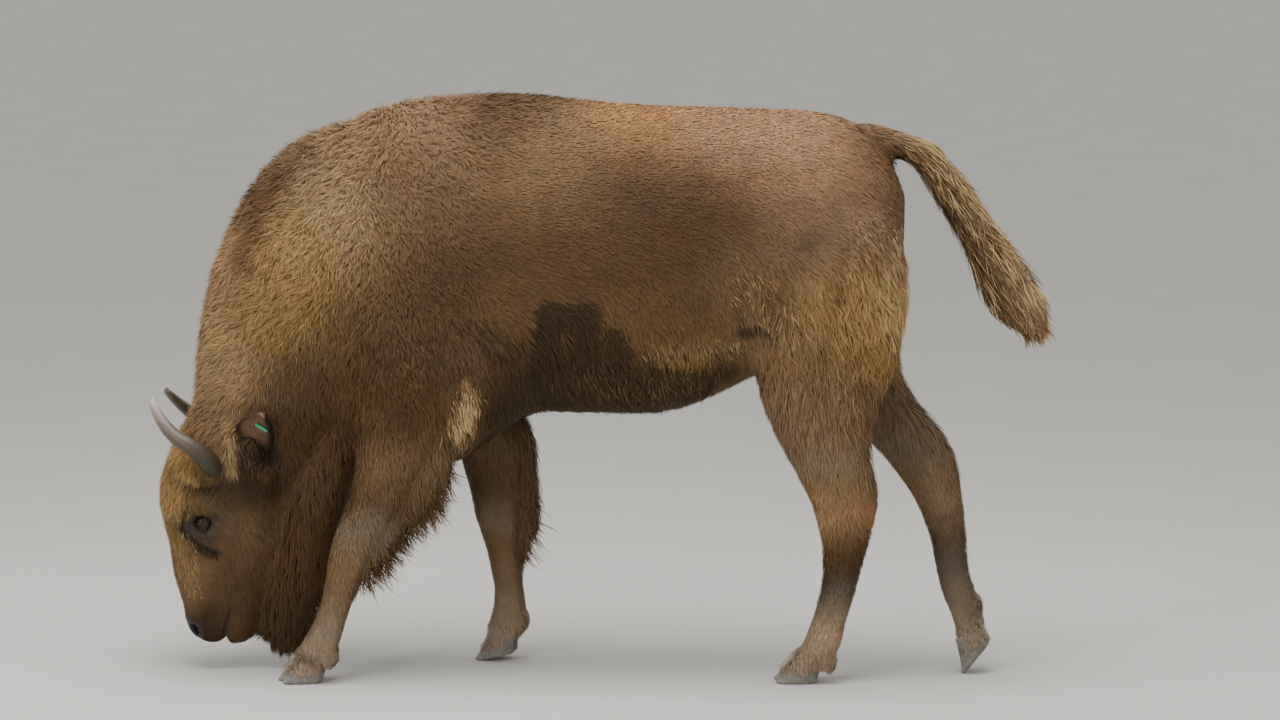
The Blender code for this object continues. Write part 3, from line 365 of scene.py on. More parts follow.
def smooth_step(value, low, high):
    t = np.clip((value - low) / (high - low), 0.0, 1.0)
    return t * t * (3 - 2 * t)


def read_rows(items, key, width, kind=float):
    """One value of all vertices, edges or triangles of a mesh, a row for each."""
    out = np.empty(len(items) * width, kind)
    items.foreach_get(key, out)
    return out.reshape(-1, width)


def bell(value, width):
    return np.exp(-0.5 * (value / width) ** 2)


def corners_of(mesh):
    return read_rows(mesh.vertices, "co", 3)


def normals_of(mesh):
    return read_rows(mesh.vertices, "normal", 3)


def edge_ends(mesh):
    return read_rows(mesh.edges, "vertices", 2, np.int32)


def triangles_of(mesh):
    mesh.calc_loop_triangles()
    return read_rows(mesh.loop_triangles, "vertices", 3, np.int32)


def tree_over(points, triangles):
    """A search tree that finds the nearest spot on these triangles."""
    return BVHTree.FromPolygons(points.tolist(), triangles.tolist())


def shade_smooth(mesh):
    mesh.polygons.foreach_set("use_smooth", np.ones(len(mesh.polygons), bool))


def cloud(points, grain, seed):
    """Smooth noise from -1 to 1 whose bumps are about as wide as the grain."""
    scaled = points / grain + seed * 17.31
    cell = np.floor(scaled).astype(np.int64)
    part = scaled - cell
    part = part * part * (3 - 2 * part)
    total = np.zeros(len(points))
    for dx in (0, 1):
        for dy in (0, 1):
            for dz in (0, 1):
                key = (cell[:, 0] + dx) * 73856093 ^ (cell[:, 1] + dy) * 19349663
                key = key ^ (cell[:, 2] + dz) * 83492791 ^ seed * 2654435761
                key = (key ^ (key >> 13)) * 1274126177 & 0x7FFFFFFF
                value = ((key ^ (key >> 16)) & 0xFFFF) / 32767.5 - 1.0
                share_x = part[:, 0] if dx else 1 - part[:, 0]
                share_y = part[:, 1] if dy else 1 - part[:, 1]
                share_z = part[:, 2] if dz else 1 - part[:, 2]
                total += value * share_x * share_y * share_z
    return total


def new_object(name, mesh):
    piece = bpy.data.objects.new(name, mesh)
    bpy.context.scene.collection.objects.link(piece)
    return piece


def evaluated(piece):
    """The mesh with the piece's modifiers applied; the piece itself is removed."""
    graph = bpy.context.evaluated_depsgraph_get()
    mesh = bpy.data.meshes.new_from_object(piece.evaluated_get(graph))
    bpy.data.objects.remove(piece, do_unlink=True)
    return mesh


def with_modifier(mesh, kind, **settings):
    piece = new_object("work", mesh)
    modifier = piece.modifiers.new("work", kind)
    for key, value in settings.items():
        setattr(modifier, key, value)
    return evaluated(piece)


def lofted(rings, closed_ends=True):
    """A mesh over rings of equally many points."""
    mesh = bmesh.new()
    rows = [[mesh.verts.new(p) for p in ring] for ring in rings]
    count = len(rings[0])
    for lower, upper in zip(rows, rows[1:]):
        for k in range(count):
            after = (k + 1) % count
            mesh.faces.new((lower[k], lower[after], upper[after], upper[k]))
    if closed_ends:
        mesh.faces.new(rows[0][::-1])
        mesh.faces.new(rows[-1])
    bmesh.ops.recalc_face_normals(mesh, faces=mesh.faces)
    data = bpy.data.meshes.new("loft")
    mesh.to_mesh(data)
    mesh.free()
    return data


def curve_through(points, steps):
    """Points on a Catmull-Rom curve; each row may hold more numbers than three."""
    rows = np.asarray(points, float)
    padded = np.vstack((2 * rows[0] - rows[1], rows, 2 * rows[-1] - rows[-2]))
    out = []
    for i in range(len(rows) - 1):
        a, b, c, d = padded[i:i + 4]
        for t in np.arange(steps) / steps:
            out.append(b + 0.5 * t * (c - a + t * (2 * a - 5 * b + 4 * c - d + t * (3 * (b - c) + d - a))))
    out.append(rows[-1])
    return np.array(out)


# --- the skin --------------------------------------------------------------------------------------------


def welded(names):
    """The solids of these nodes in one mesh, each closed."""
    whole = bmesh.new()
    for name in names:
        piece = bmesh.new()
        piece.from_mesh(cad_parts[name].data)
        bmesh.ops.remove_doubles(piece, verts=piece.verts, dist=WELD)
        data = bpy.data.meshes.new("weld")
        piece.to_mesh(data)
        piece.free()
        whole.from_mesh(data)
        bpy.data.meshes.remove(data)
    mesh = bpy.data.meshes.new("welded")
    whole.to_mesh(mesh)
    whole.free()
    return mesh


def add_mesh(mesh, extra):
    whole = bmesh.new()
    whole.from_mesh(mesh)
    whole.from_mesh(extra)
    whole.to_mesh(mesh)
    whole.free()


def resized(name, size, shift=(0, 0, 0)):
    """A copy of a node's solid, scaled about its middle and shifted."""
    copy = welded([name])
    centre = box_centre(name)
    copy.transform(Matrix.Translation(centre + Vector(shift)) @ Matrix.Scale(size, 4)
                   @ Matrix.Translation(-centre))
    return copy


def claw_cores():
    """Slim raised claws, so that skin runs on inside the horn, and full dewclaws that swell the fetlocks."""
    cores = [resized(name, 0.84, (2 * MM, 0, 14 * MM)) for name in CLAWS]
    return cores + [resized(name, 1.15, (-7 * MM, 0, 9 * MM)) for name in DEWCLAWS]


def keep_largest(mesh):
    work = bmesh.new()
    work.from_mesh(mesh)
    unseen = set(work.verts)
    bodies = []
    while unseen:
        stack = [unseen.pop()]
        body = list(stack)
        while stack:
            for edge in stack.pop().link_edges:
                for vert in edge.verts:
                    if vert in unseen:
                        unseen.discard(vert)
                        stack.append(vert)
                        body.append(vert)
        bodies.append(body)
    bodies.sort(key=len, reverse=True)
    for body in bodies[1:]:
        bmesh.ops.delete(work, geom=body, context="VERTS")
    work.to_mesh(mesh)
    work.free()


def refine(mesh, wanted):
    """Splits in four the faces whose middle is wanted."""
    work = bmesh.new()
    work.from_mesh(mesh)
    edges = {edge for face in work.faces if wanted(face.calc_center_median()) for edge in face.edges}
    bmesh.ops.subdivide_edges(work, edges=list(edges), cuts=1, use_grid_fill=True)
    work.to_mesh(mesh)
    work.free()


def neighbour_mean(values, ends, count):
    """For each vertex, the mean of its neighbours' values."""
    a, b = ends[:, 0], ends[:, 1]
    degree = np.bincount(a, minlength=count) + np.bincount(b, minlength=count)
    out = np.empty_like(values)
    for k in range(values.shape[1]):
        total = np.bincount(a, values[b, k], count) + np.bincount(b, values[a, k], count)
        out[:, k] = total / np.maximum(degree, 1)
    return out


def fair(points, ends, rounds):
    """Smooths facets away without shrinking the form."""
    for _ in range(rounds):
        points = points + 0.50 * (neighbour_mean(points, ends, len(points)) - points)
        points = points - 0.52 * (neighbour_mean(points, ends, len(points)) - points)
    return points


def set_corners(mesh, points):
    mesh.vertices.foreach_set("co", np.ascontiguousarray(points, np.float32).ravel())
    mesh.update()


def body_surface():
    """One closed surface over all the flesh, finer over the face, with the solids' facets smoothed away."""
    mesh = welded(FLESH + LONG_HAIR)
    for core in claw_cores():
        add_mesh(mesh, core)
        bpy.data.meshes.remove(core)
    mesh = with_modifier(mesh, "REMESH", mode="VOXEL", voxel_size=SKIN_GRAIN)
    keep_largest(mesh)
    set_corners(mesh, fair(corners_of(mesh), edge_ends(mesh), FAIRING_ROUNDS))
    face_end = place(FACE_LENGTH, HEAD_FLOOR_TO_POLL)
    refine(mesh, lambda p: p.z < face_end.z and p.x < face_end.x)
    eyes = [box_centre("eye_" + side) for side, _ in SIDES]
    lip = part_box("nose")[1] + Vector((60 * MM, 0, 10 * MM))
    refine(mesh, lambda p: min((p - eye).length for eye in eyes) < 46 * MM or (p.x < lip.x and p.z < lip.z))
    refine(mesh, lambda p: min((p - eye).length for eye in eyes) < 31 * MM)
    set_corners(mesh, fair(corners_of(mesh), edge_ends(mesh), 2))
    return mesh


class Nodes:
    """Says which CAD node a point is nearest to."""

    def __init__(self, names):
        self.names = names
        corners, faces, owners = [], [], []
        start = 0
        for k, name in enumerate(names):
            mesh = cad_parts[name].data
            points = corners_of(mesh)
            triangles = triangles_of(mesh)
            corners.append(points)
            faces.append(triangles + start)
            owners += [k] * len(triangles)
            start += len(points)
        self.owners = np.array(owners)
        self.tree = tree_over(np.vstack(corners), np.vstack(faces))

    def nearest(self, points):
        return self.owners[[self.tree.find_nearest(p)[2] for p in points.tolist()]]


class Claws:
    """Says how far points are from the hooves and dewclaws."""

    def __init__(self):
        mesh = welded(CLAWS + DEWCLAWS)
        self.tree = tree_over(corners_of(mesh), triangles_of(mesh))

    def distance(self, points):
        return np.array([self.tree.find_nearest(p)[3] for p in points.tolist()])


def leg_slices(name, heights):
    """Front edge, back edge and middle Y of a leg at these heights."""
    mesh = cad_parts[name].data
    points = corners_of(mesh)
    ends = points[edge_ends(mesh)]
    out = []
    for height in heights:
        a, b = ends[:, 0], ends[:, 1]
        crossing = (a[:, 2] - height) * (b[:, 2] - height) < 0
        a, b = a[crossing], b[crossing]
        if len(a) < 3:
            out.append(out[-1])
            continue
        t = ((height - a[:, 2]) / (b[:, 2] - a[:, 2]))[:, None]
        cut = a + t * (b - a)
        out.append((cut[:, 0].min(), cut[:, 0].max(), (cut[:, 1].min() + cut[:, 1].max()) / 2))
    return np.array(out)


# --- how the coat lies, place by place, worked out at every corner of the skin ---------------------------


def guide_fields(points, parts):
    """Lie (x, z), length, depth, width, tousle and colour, blended from the guides of these parts."""
    chosen = [g for g in COAT if g[1] in parts]
    centres = np.array([place(g[2], g[3]) for g in chosen])[:, [0, 2]]
    reach = np.array([g[4] for g in chosen]) * MM
    values = np.array([(*g[5], g[6] * MM, g[7] * MM, g[8] * MM, g[9], *HAIR_LINEAR[g[10]]) for g in chosen])
    apart = np.linalg.norm(points[:, None, [0, 2]] - centres[None], axis=2) / reach
    weight = np.exp(-0.5 * (apart ** 2 - (apart ** 2).min(axis=1, keepdims=True)))
    weight /= weight.sum(axis=1, keepdims=True)
    return weight @ values


def leg_fields(points, table):
    """The same numbers for a leg, from its table by height."""
    heights = np.array([row[0] for row in table])[::-1] * HEIGHT
    rows = np.array([(0.12, -1.0, row[2] * MM, row[3] * MM, row[4] * MM, 0.2, *HAIR_LINEAR[row[1]])
                     for row in table])[::-1]
    level = points[:, 2] + 26 * MM * cloud(points, 60 * MM, 61) + 12 * MM * cloud(points, 22 * MM, 62)
    return np.column_stack([np.interp(level, heights, rows[:, k]) for k in range(rows.shape[1])])


def fuller(fields, share, lie=0.0, length=0.0, depth=0.0, tousle=0.0):
    """Hair that stands further back, longer, deeper and more tousled, by the share at each point."""
    for column, more in ((LIE_X, lie), (TUFT_LENGTH, length), (TUFT_DEPTH, depth), (TOUSLE, tousle)):
        fields[:, column] += more * share


def leg_region_fields(points, normals, name):
    """A leg's fields: dark on the inner side, long and warm at the back, running into the trunk's above."""
    front = "front" in name
    table = FRONT_LEG_COAT if front else HIND_LEG_COAT
    out = leg_fields(points, table)
    sign = -1.0 if "left" in name else 1.0
    low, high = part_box(name)
    heights = np.linspace(low.z + 15 * MM, high.z - 15 * MM, 24)
    cuts = leg_slices(name, heights)
    fore = np.interp(points[:, 2], heights, cuts[:, 0])
    aft = np.interp(points[:, 2], heights, cuts[:, 1])
    share = np.clip((points[:, 0] - fore) / np.maximum(aft - fore, 1 * MM), 0, 1)
    up = points[:, 2] / HEIGHT
    rear = smooth_step(share, 0.62, 0.95)
    if front:
        fuller(out, rear * smooth_step(up, 0.13, 0.24), lie=0.45, length=42 * MM, tousle=0.5)
    else:
        fringe = rear * smooth_step(up, 0.27, 0.36)
        fuller(out, fringe, lie=0.30, length=26 * MM, tousle=0.4)
        out[:, COLOUR] = tinted(out[:, COLOUR], 0.7 * fringe, HAIR_LINEAR["amber"])
        ruffle = rear * smooth_step(up, 0.13, 0.17) * smooth_step(up, 0.34, 0.28)
        fuller(out, ruffle, lie=0.7, length=8 * MM, depth=3 * MM, tousle=0.6)
        shin = smooth_step(share, 0.45, 0.1) * smooth_step(up, 0.10, 0.14) * smooth_step(up, 0.25, 0.20)
        out[:, COLOUR] *= 1 - 0.25 * shin[:, None]
    feather = smooth_step(share, 0.45, 0.85) * smooth_step(up, 0.125, 0.095)
    fuller(out, feather, length=12 * MM)
    inner = smooth_step(-normals[:, 1] * sign, 0.1, 0.8)
    out[:, TUFT_LENGTH] *= 1 - 0.35 * inner
    out[:, TUFT_DEPTH] *= 1 - 0.30 * inner
    # Inner side: greyer and darker, partly the hair's own colour and partly painted shade; then lightened,
    # most on the hind legs, as painted light against the body's shade.
    out[:, COLOUR] = tinted(out[:, COLOUR], (0.15 if front else 0.45) * inner, HAIR_LINEAR["mouse"])
    out[:, COLOUR] *= (1 + (0.05 if front else 0.25) * inner)[:, None]
    mix = (smooth_step(up, 0.395, 0.455) if front else smooth_step(up, 0.50, 0.56))[:, None]
    return out * (1 - mix) + guide_fields(points, ("trunk",)) * mix


def coat_fields(points, normals, labels, names):
    """Nine numbers for every corner: lie x, lie z, length, depth, width, tousle, red, green, blue."""
    out = np.zeros((len(points), 9))
    for k, name in enumerate(names):
        mine = labels == k
        if not mine.any():
            continue
        if name.startswith("leg_"):
            out[mine] = leg_region_fields(points[mine], normals[mine], name)
        else:
            out[mine] = guide_fields(points[mine], NEIGHBOURS[name])
    return out


def with_markings_and_painted_shade(points, normals, colours, stray=0.0):
    """Adds the finer markings with their painted shade and light; stray is how far off its own place each
    point takes its colour.
    """
    sideways = smooth_step(np.abs(normals[:, 1]), 0.05, 0.35)
    ragged = 6 * MM * cloud(points, 22 * MM, 51) + stray
    for _, start, end, half, soft, name, strength in MARKINGS_AND_PAINTED_SHADE:
        off = from_segment(points, start, end) + ragged * min(1.0, half / 12)
        share = smooth_step(off, (half + soft) * MM, (half - soft) * MM)
        colours = tinted(colours, share * strength * sideways, HAIR_LINEAR[name])
    return colours


def with_streaks(points, normals, colours):
    """Gives single tufts another colour."""
    sideways = smooth_step(np.abs(normals[:, 1]), 0.05, 0.35)
    for _, start, end, half, soft, name, share in STREAKS:
        near = smooth_step(from_segment(points, start, end), (half + soft) * MM, (half - soft) * MM)
        chosen = rng.random(len(points)) < near * share * sideways
        colours = tinted(colours, chosen * rng.uniform(0.4, 1.0, len(points)), HAIR_LINEAR[name])
    return colours


def lie_over(normals, fields, points, free):
    """The lie as a direction along the surface, or off it where the hair hangs free."""
    across = np.clip(points[:, 1] / HALF_WIDTH, -1, 1) * 0.6 * np.clip(normals[:, 2], 0, 1)
    wanted = unit(np.column_stack((fields[:, LIE_X], across, fields[:, LIE_Z] - 0.05)))
    outward = (wanted * normals).sum(axis=1)
    hang = 0.85 * free * smooth_step(outward, 0.15, 0.75)
    along = wanted - normals * (outward * (1 - hang))[:, None]
    return unit(along)


# --- forms worked into the skin --------------------------------------------------------------------------

# name, from and to (shares of length and height), half width (mm), height (mm; a hollow is negative)
RELIEF = (
    ("shoulder_blade", (0.345, 0.900), (0.255, 0.640), 26, 5),
    ("behind_shoulder", (0.385, 0.860), (0.360, 0.600), 26, -5),
    ("upper_arm", (0.255, 0.600), (0.330, 0.500), 24, 4),
    ("elbow_fold", (0.333, 0.560), (0.372, 0.500), 9, -4),
    ("hip_bone", (0.660, 0.930), (0.690, 0.890), 26, 5),
    ("hollow_flank", (0.620, 0.850), (0.640, 0.760), 34, -5),
    ("thigh_bone", (0.690, 0.880), (0.700, 0.700), 30, 4),
    ("stifle_fold", (0.655, 0.640), (0.690, 0.560), 12, -5),
    ("thigh_furrow", (0.775, 0.760), (0.765, 0.620), 11, -4),
    ("cheek_bone", (0.062, 0.235), (0.105, 0.285), 11, 3),
    ("jaw_line", (0.085, 0.150), (0.135, 0.240), 10, 2.5),
    ("brow_ridge", (0.046, 0.303), (0.070, 0.300), 10, 4),
    ("eye_fold_high", (0.0430, 0.3010), (0.0355, 0.2770), 5, -3),
    ("eye_fold", (0.0355, 0.2770), (0.0362, 0.2560), 6, -4),
    ("eye_fold_low", (0.0362, 0.2560), (0.0480, 0.2330), 6, -4),
    ("eye_pit", (0.0530, 0.2260), (0.0700, 0.2170), 9, -5),
    ("brow_pit", (0.0440, 0.3340), (0.0750, 0.3320), 7, -4),
    ("snout_ridge", (0.022, 0.230), (0.026, 0.150), 11, 2.5),
    ("hollow_cheek", (0.060, 0.190), (0.085, 0.210), 14, -3),
    ("mouth_line", (0.0765, 0.0640), (0.0840, 0.1150), 2.6, -4),
    ("upper_lip", (0.0660, 0.0640), (0.0740, 0.1080), 4, 2),
    ("nostril_wing", (0.0560, 0.1000), (0.0570, 0.0580), 3, -2.5),
)
MOUTH = ((0.0765, 0.0640), (0.0840, 0.1150))
EYE_OUT = (-0.34, 0.93, 0.06)  # the way an eye looks, for the right side
EYE_LONG = (0.86, 0.30, 0.46)  # from its front corner to its rear corner
EYE_OPEN = (19.0 * MM, 9.6 * MM, 8.4 * MM)  # half length of the opening, its rise above and below the middle
LID_THICK = 2.2 * MM
# Rim and folds of the lids: height, how far outside the opening and half width (mm), then 1 for the upper
# lid, -1 for the lower and 0 for both
LID_FOLDS = ((0.9, 1.3, 1.0, 0), (-1.3, 6.0, 1.2, 1), (-0.8, 7.5, 1.4, -1))
NOSTRIL_OUT = (-0.62, 0.76, -0.16)
NOSTRIL_SIZE = (12.5 * MM, 16.0 * MM, 16.0 * MM)  # half width, half height, depth
LIP_NOTCH = (0.0765, 22 * MM, 9 * MM)  # the gap between the lips: share of length, rise, half width
EAR_OPENING = (-0.15, 0.80, -0.50)


def mirrored(vector, sign):
    return Vector((vector[0], vector[1] * sign, vector[2]))


def from_segment(points, start, end):
    """How far points of the side view are from a straight line between two places."""
    a = np.array(place(*start))[[0, 2]]
    b = np.array(place(*end))[[0, 2]]
    flat = points[:, [0, 2]] - a
    t = np.clip(flat @ (b - a) / ((b - a) @ (b - a)), 0, 1)[:, None]
    return np.linalg.norm(flat - t * (b - a), axis=1)


def carve(points, normals):
    """Muscle, bone and folds raised or sunk on both sides."""
    sideways = smooth_step(np.abs(normals[:, 1]), 0.25, 0.6)
    lift = np.zeros(len(points))
    for _, start, end, width, height in RELIEF:
        lift += height * MM * bell(from_segment(points, start, end), width * MM)
    return points + normals * (lift * sideways)[:, None]


def part_lips(points):
    """Lifts the underside of the muzzle between the lips."""
    along, rise, half = LIP_NOTCH
    off = points[:, 0] - place(along, 0).x
    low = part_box("jaw")[0].z
    under = smooth_step(points[:, 2], low + 52 * MM, low + 12 * MM) * (points[:, 0] < place(0.13, 0).x)
    slope = np.where(off < 0, np.exp(off / (1.3 * half)), bell(off, 0.6 * half))
    moved = points.copy()
    moved[:, 2] += rise * slope * under
    return moved


def calmed(points, ends, start, end, reach, rounds):
    """Smooths out steps and gaps round a line between two places of the side view."""
    share = np.clip(bell(from_segment(points, start, end), reach) * 1.4, 0, 1)[:, None]
    for _ in range(rounds):
        points = points + share * 0.6 * (neighbour_mean(points, ends, len(points)) - points)
    return points


def axes_of(out, along):
    """Right-handed unit axes: along, across and out."""
    out = Vector(out).normalized()
    along = Vector(along)
    along = (along - out * along.dot(out)).normalized()
    return np.array(along), np.array(out.cross(along)), np.array(out)


def eye_axes(sign):
    """Along the eye's opening to its rear corner, up across the lids, and out."""
    along, across, out = axes_of(mirrored(EYE_OUT, sign), mirrored(EYE_LONG, sign))
    return along, across * np.sign(across[2]), out


def in_axes(points, centre, axes):
    return [(points - np.array(centre)) @ axis for axis in axes]


def lid_gap(u, v):
    """How far inside the opening between the lids a point is; negative on the lids."""
    half, rise, fall = EYE_OPEN
    arch = 1 - (u / half) ** 2
    upper = rise * arch - v
    lower = v + fall * arch
    return np.minimum(upper, lower)


def shape_eye(points, side, sign):
    """Wraps lids over the eyeball and opens them; returns the new points and how bare each is."""
    radius = eye_radius(side)
    axes = eye_axes(sign)
    u, v, w = in_axes(points, box_centre("eye_" + side), axes)
    across = np.hypot(u, v)
    mine = (across < 40 * MM) & (w > -14 * MM)
    shell = radius + LID_THICK
    dome = np.sqrt(np.clip(shell ** 2 - across ** 2, 0, None))
    soft = 3.0 * MM
    gap = dome - w
    lid = w + soft * np.log1p(np.exp(np.clip(gap / soft, -30, 30)))
    lid = np.where(across < shell, lid, w + soft * np.log1p(np.exp(np.clip(-w / soft - 2, -30, 2)))
                   * smooth_step(across, shell + 6 * MM, shell))
    inside = lid_gap(u, v)
    for height, out, half, which in LID_FOLDS:
        lid += height * MM * bell(inside + out * MM, half * MM) * ((v * which > 0) if which else 1)
    ball = np.sqrt(np.clip(radius ** 2 - across ** 2, 0, None)) - 2.6 * MM
    opened = smooth_step(inside, -0.5 * MM, 0.9 * MM)
    lid = lid * (1 - opened) + np.minimum(lid, ball) * opened
    moved = points + axes[2] * np.where(mine, lid - w, 0.0)[:, None]
    return moved, np.where(mine, smooth_step(inside, -11 * MM, -6 * MM), 0.0)


def nostril_centre(sign):
    low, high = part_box("nose")
    return Vector((between(low.x, high.x, 0.70), sign * 0.82 * high.y, between(low.z, high.z, 0.37)))


def shape_nostril(points, sign):
    """A comma-shaped hole with a soft rim."""
    half_width, half_height, depth = NOSTRIL_SIZE
    axes = axes_of(mirrored(NOSTRIL_OUT, sign), (0.15, 0.0, 1.0))
    v, u, w = in_axes(points, nostril_centre(sign), axes)
    u = u * sign + 0.28 * v ** 2 / half_height
    away = np.sqrt((u / half_width) ** 2 + (v / half_height) ** 2)
    outer_side = w > -22 * MM
    hole = smooth_step(away, 1.05, 0.62) * outer_side
    rim = bell(away - 1.32, 0.20) * outer_side
    moved = points + axes[2] * (rim * 1.8 * MM - hole * depth)[:, None]
    return moved, hole, away


def thickness_at(tree, points, normals):
    """How much flesh lies straight below each point."""
    out = np.full(len(points), 0.3)
    starts = points - normals * 0.5 * MM
    for k, (start, way) in enumerate(zip(starts.tolist(), (-normals).tolist())):
        hit = tree.ray_cast(start, way, 0.3)
        if hit[3] is not None:
            out[k] = hit[3]
    return out


def relax(values, ends, rounds):
    for _ in range(rounds):
        values = 0.5 * values + 0.5 * neighbour_mean(values, ends, len(values))
    return values


def tinted(colour, share, target):
    share = np.clip(share, 0, 1)[:, None]
    return colour * (1 - share) + np.array(target) * share


def mark_face(points, fields, bare):
    """The fine markings of the face, and where it is bare; changes both in place."""
    colour = fields[:, COLOUR]
    leather = np.zeros(len(points))
    for side, sign in SIDES:
        near_side = points[:, 1] * sign > 0
        u, v, w = in_axes(points, box_centre("eye_" + side), eye_axes(sign))
        inside = lid_gap(u, v)
        lid = smooth_step(inside, -24 * MM, -10 * MM) * near_side * (w > -24 * MM)
        colour[:] = tinted(colour, lid, LID)
        away = shape_nostril(points, sign)[2]
        leather = np.maximum(leather, smooth_step(away, 2.5, 1.8) * near_side * (w > -90 * MM))
    low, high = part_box("nose")
    front = smooth_step(points[:, 0], high.x - 6 * MM, low.x + 16 * MM)
    front = front * smooth_step(points[:, 2], between(low.z, high.z, 0.80), between(low.z, high.z, 0.55))
    by_nose = (points[:, 2] < high.z + 10 * MM) * (points[:, 0] < high.x + 20 * MM)
    leather = np.clip(leather + front, 0, 1) * by_nose
    colour[:] = tinted(colour, leather, LEATHER)
    mouth = bell(from_segment(points, *MOUTH), 4 * MM)
    colour[:] = tinted(colour, 0.8 * mouth * (points[:, 0] < place(0.12, 0).x), LEATHER)
    bare[:] = np.maximum(bare, leather)
    return leather


def mark_tail(points, normals, fields, labels, names):
    """Pale along the top and the rear, dark below and at the root."""
    out_from_root = smooth_step(points[:, 0], place(0.80, 0).x, place(0.87, 0).x)
    lie = fields[:, :TUFT_LENGTH]
    lie = lie / np.maximum(np.linalg.norm(lie, axis=1, keepdims=True), 1e-6)
    facing = normals[:, 0] * -lie[:, LIE_Z] + normals[:, 2] * lie[:, LIE_X]
    mine = np.isin(labels, [names.index("tail"), names.index("tail_brush")])
    below = smooth_step(facing, 0.15, -0.4) * mine * 0.80
    above = smooth_step(facing, 0.30, 0.90) * mine * 0.85 * out_from_root
    dark = tinted(fields[:, COLOUR], below, HAIR_LINEAR["cocoa"])
    fields[:, COLOUR] = tinted(dark, above, HAIR_LINEAR["wheat"])


def body_skin():
    """The skin without its ears: mesh, fields, how bare and leathery it is, and the node at each point."""
    mesh = body_surface()
    ends = edge_ends(mesh)
    points = corners_of(mesh)
    points = calmed(points, ends, (0.150, 0.420), (0.128, 0.120), 30 * MM, 60)
    eye_spot = (box_centre("eye_left").x - cad_low.x) / LENGTH, box_centre("eye_left").z / HEIGHT
    points = calmed(points, ends, eye_spot, (eye_spot[0] + 0.001, eye_spot[1]), 17 * MM, 60)
    set_corners(mesh, points)
    normals = relax(normals_of(mesh), ends, 3)
    normals = unit(normals)
    names = FLESH + LONG_HAIR
    labels = Nodes(names).nearest(points)
    fields = relax(coat_fields(points, normals, labels, names), ends, 14)
    mark_tail(points, normals, fields, labels, names)
    bare = np.zeros(len(points))
    leather = mark_face(points, fields, bare)
    tree = tree_over(points, triangles_of(mesh))
    flesh = thickness_at(tree, points, normals)
    depth = np.minimum(fields[:, TUFT_DEPTH], 0.34 * flesh) * (1 - bare)
    depth = relax(depth[:, None], ends, 4)[:, 0]
    points = points - normals * depth[:, None]
    points = fair(points, ends, 3)
    points = part_lips(carve(points, normals))
    for side, sign in SIDES:
        points, lids = shape_eye(points, side, sign)
        bare = np.maximum(bare, lids)
        points, hole, _ = shape_nostril(points, sign)
        # Inside each nostril the colour is painted near black: painted shade in the hole.
        fields[:, COLOUR] = tinted(fields[:, COLOUR], hole, np.array(LEATHER) * 0.3)
    set_corners(mesh, points)
    fields[:, TUFT_DEPTH] = depth
    return mesh, fields, bare, leather, labels, names


def ear_skin(side, sign):
    """An ear with its root run into the head: mesh, fields, and how bare each point is."""
    mesh = welded(["ear_" + side])
    points = corners_of(mesh)
    head = box_centre("ear_" + side) + mirrored((0.012, -0.055, -0.01), sign)
    low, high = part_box("ear_" + side)
    base = in_box("ear_" + side, 0.66, 0.0, 0.38)
    stalk = lofted([[centre + Vector((r * cos(t), 0, r * 0.8 * sin(t))) for t in np.arange(10) * tau / 10]
                    for centre, r in ((head, 15 * MM), (base + mirrored((0, 0.012, 0), sign), 17 * MM))])
    add_mesh(mesh, stalk)
    mesh = with_modifier(mesh, "REMESH", mode="VOXEL", voxel_size=2.6 * MM)
    ends = edge_ends(mesh)
    points = fair(corners_of(mesh), ends, 6)
    set_corners(mesh, points)
    normals = unit(relax(normals_of(mesh), ends, 2))
    opening = np.array(mirrored(EAR_OPENING, sign).normalized())
    lining = smooth_step(normals @ opening, 0.15, 0.6)
    outside = 1 - lining
    along = (points[:, 0] - low.x) / (high.x - low.x)
    up = (points[:, 2] - low.z) / (high.z - low.z)
    hanging = smooth_step(up, 0.50, 0.28)
    hollow = lining * smooth_step(along, 0.16, 0.34) * smooth_step(along, 0.92, 0.74) * (1 - hanging)
    fields = np.zeros((len(points), 9))
    fields[:, LIE_X] = -0.15
    fields[:, LIE_Z] = -1.0
    fields[:, TUFT_LENGTH] = (18 * outside + 11 * lining + 40 * hanging) * MM
    fields[:, TUFT_DEPTH] = (6 * outside + 3 * lining + 5 * hanging) * MM
    fields[:, TUFT_WIDTH] = 1.3 * MM
    fields[:, TOUSLE] = 0.5
    hair = np.tile(HAIR_LINEAR["chocolate"], (len(points), 1))
    hair = tinted(hair, 0.8 * smooth_step(up, 0.84, 0.96) * outside, HAIR_LINEAR["russet"])
    hair = tinted(hair, 0.8 * smooth_step(along, 0.16, 0.04), HAIR_LINEAR["sand"])
    fields[:, COLOUR] = tinted(hair, hollow, EAR_LINING)
    full = smooth_step(up, 0.40, 0.75) * smooth_step(along, 0.60, 0.20)
    points = points + full[:, None] * np.array((-6 * MM, 0.0, 4 * MM))
    by_tag = smooth_step(np.linalg.norm(points - np.array(box_centre("ear_tag")), axis=1), 26 * MM, 17 * MM)
    set_corners(mesh, points - normals * (3 * MM * (1 - by_tag))[:, None])
    return mesh, fields, np.maximum(0.15 * lining, 0.9 * by_tag)


# --- the coat --------------------------------------------------------------------------------------------

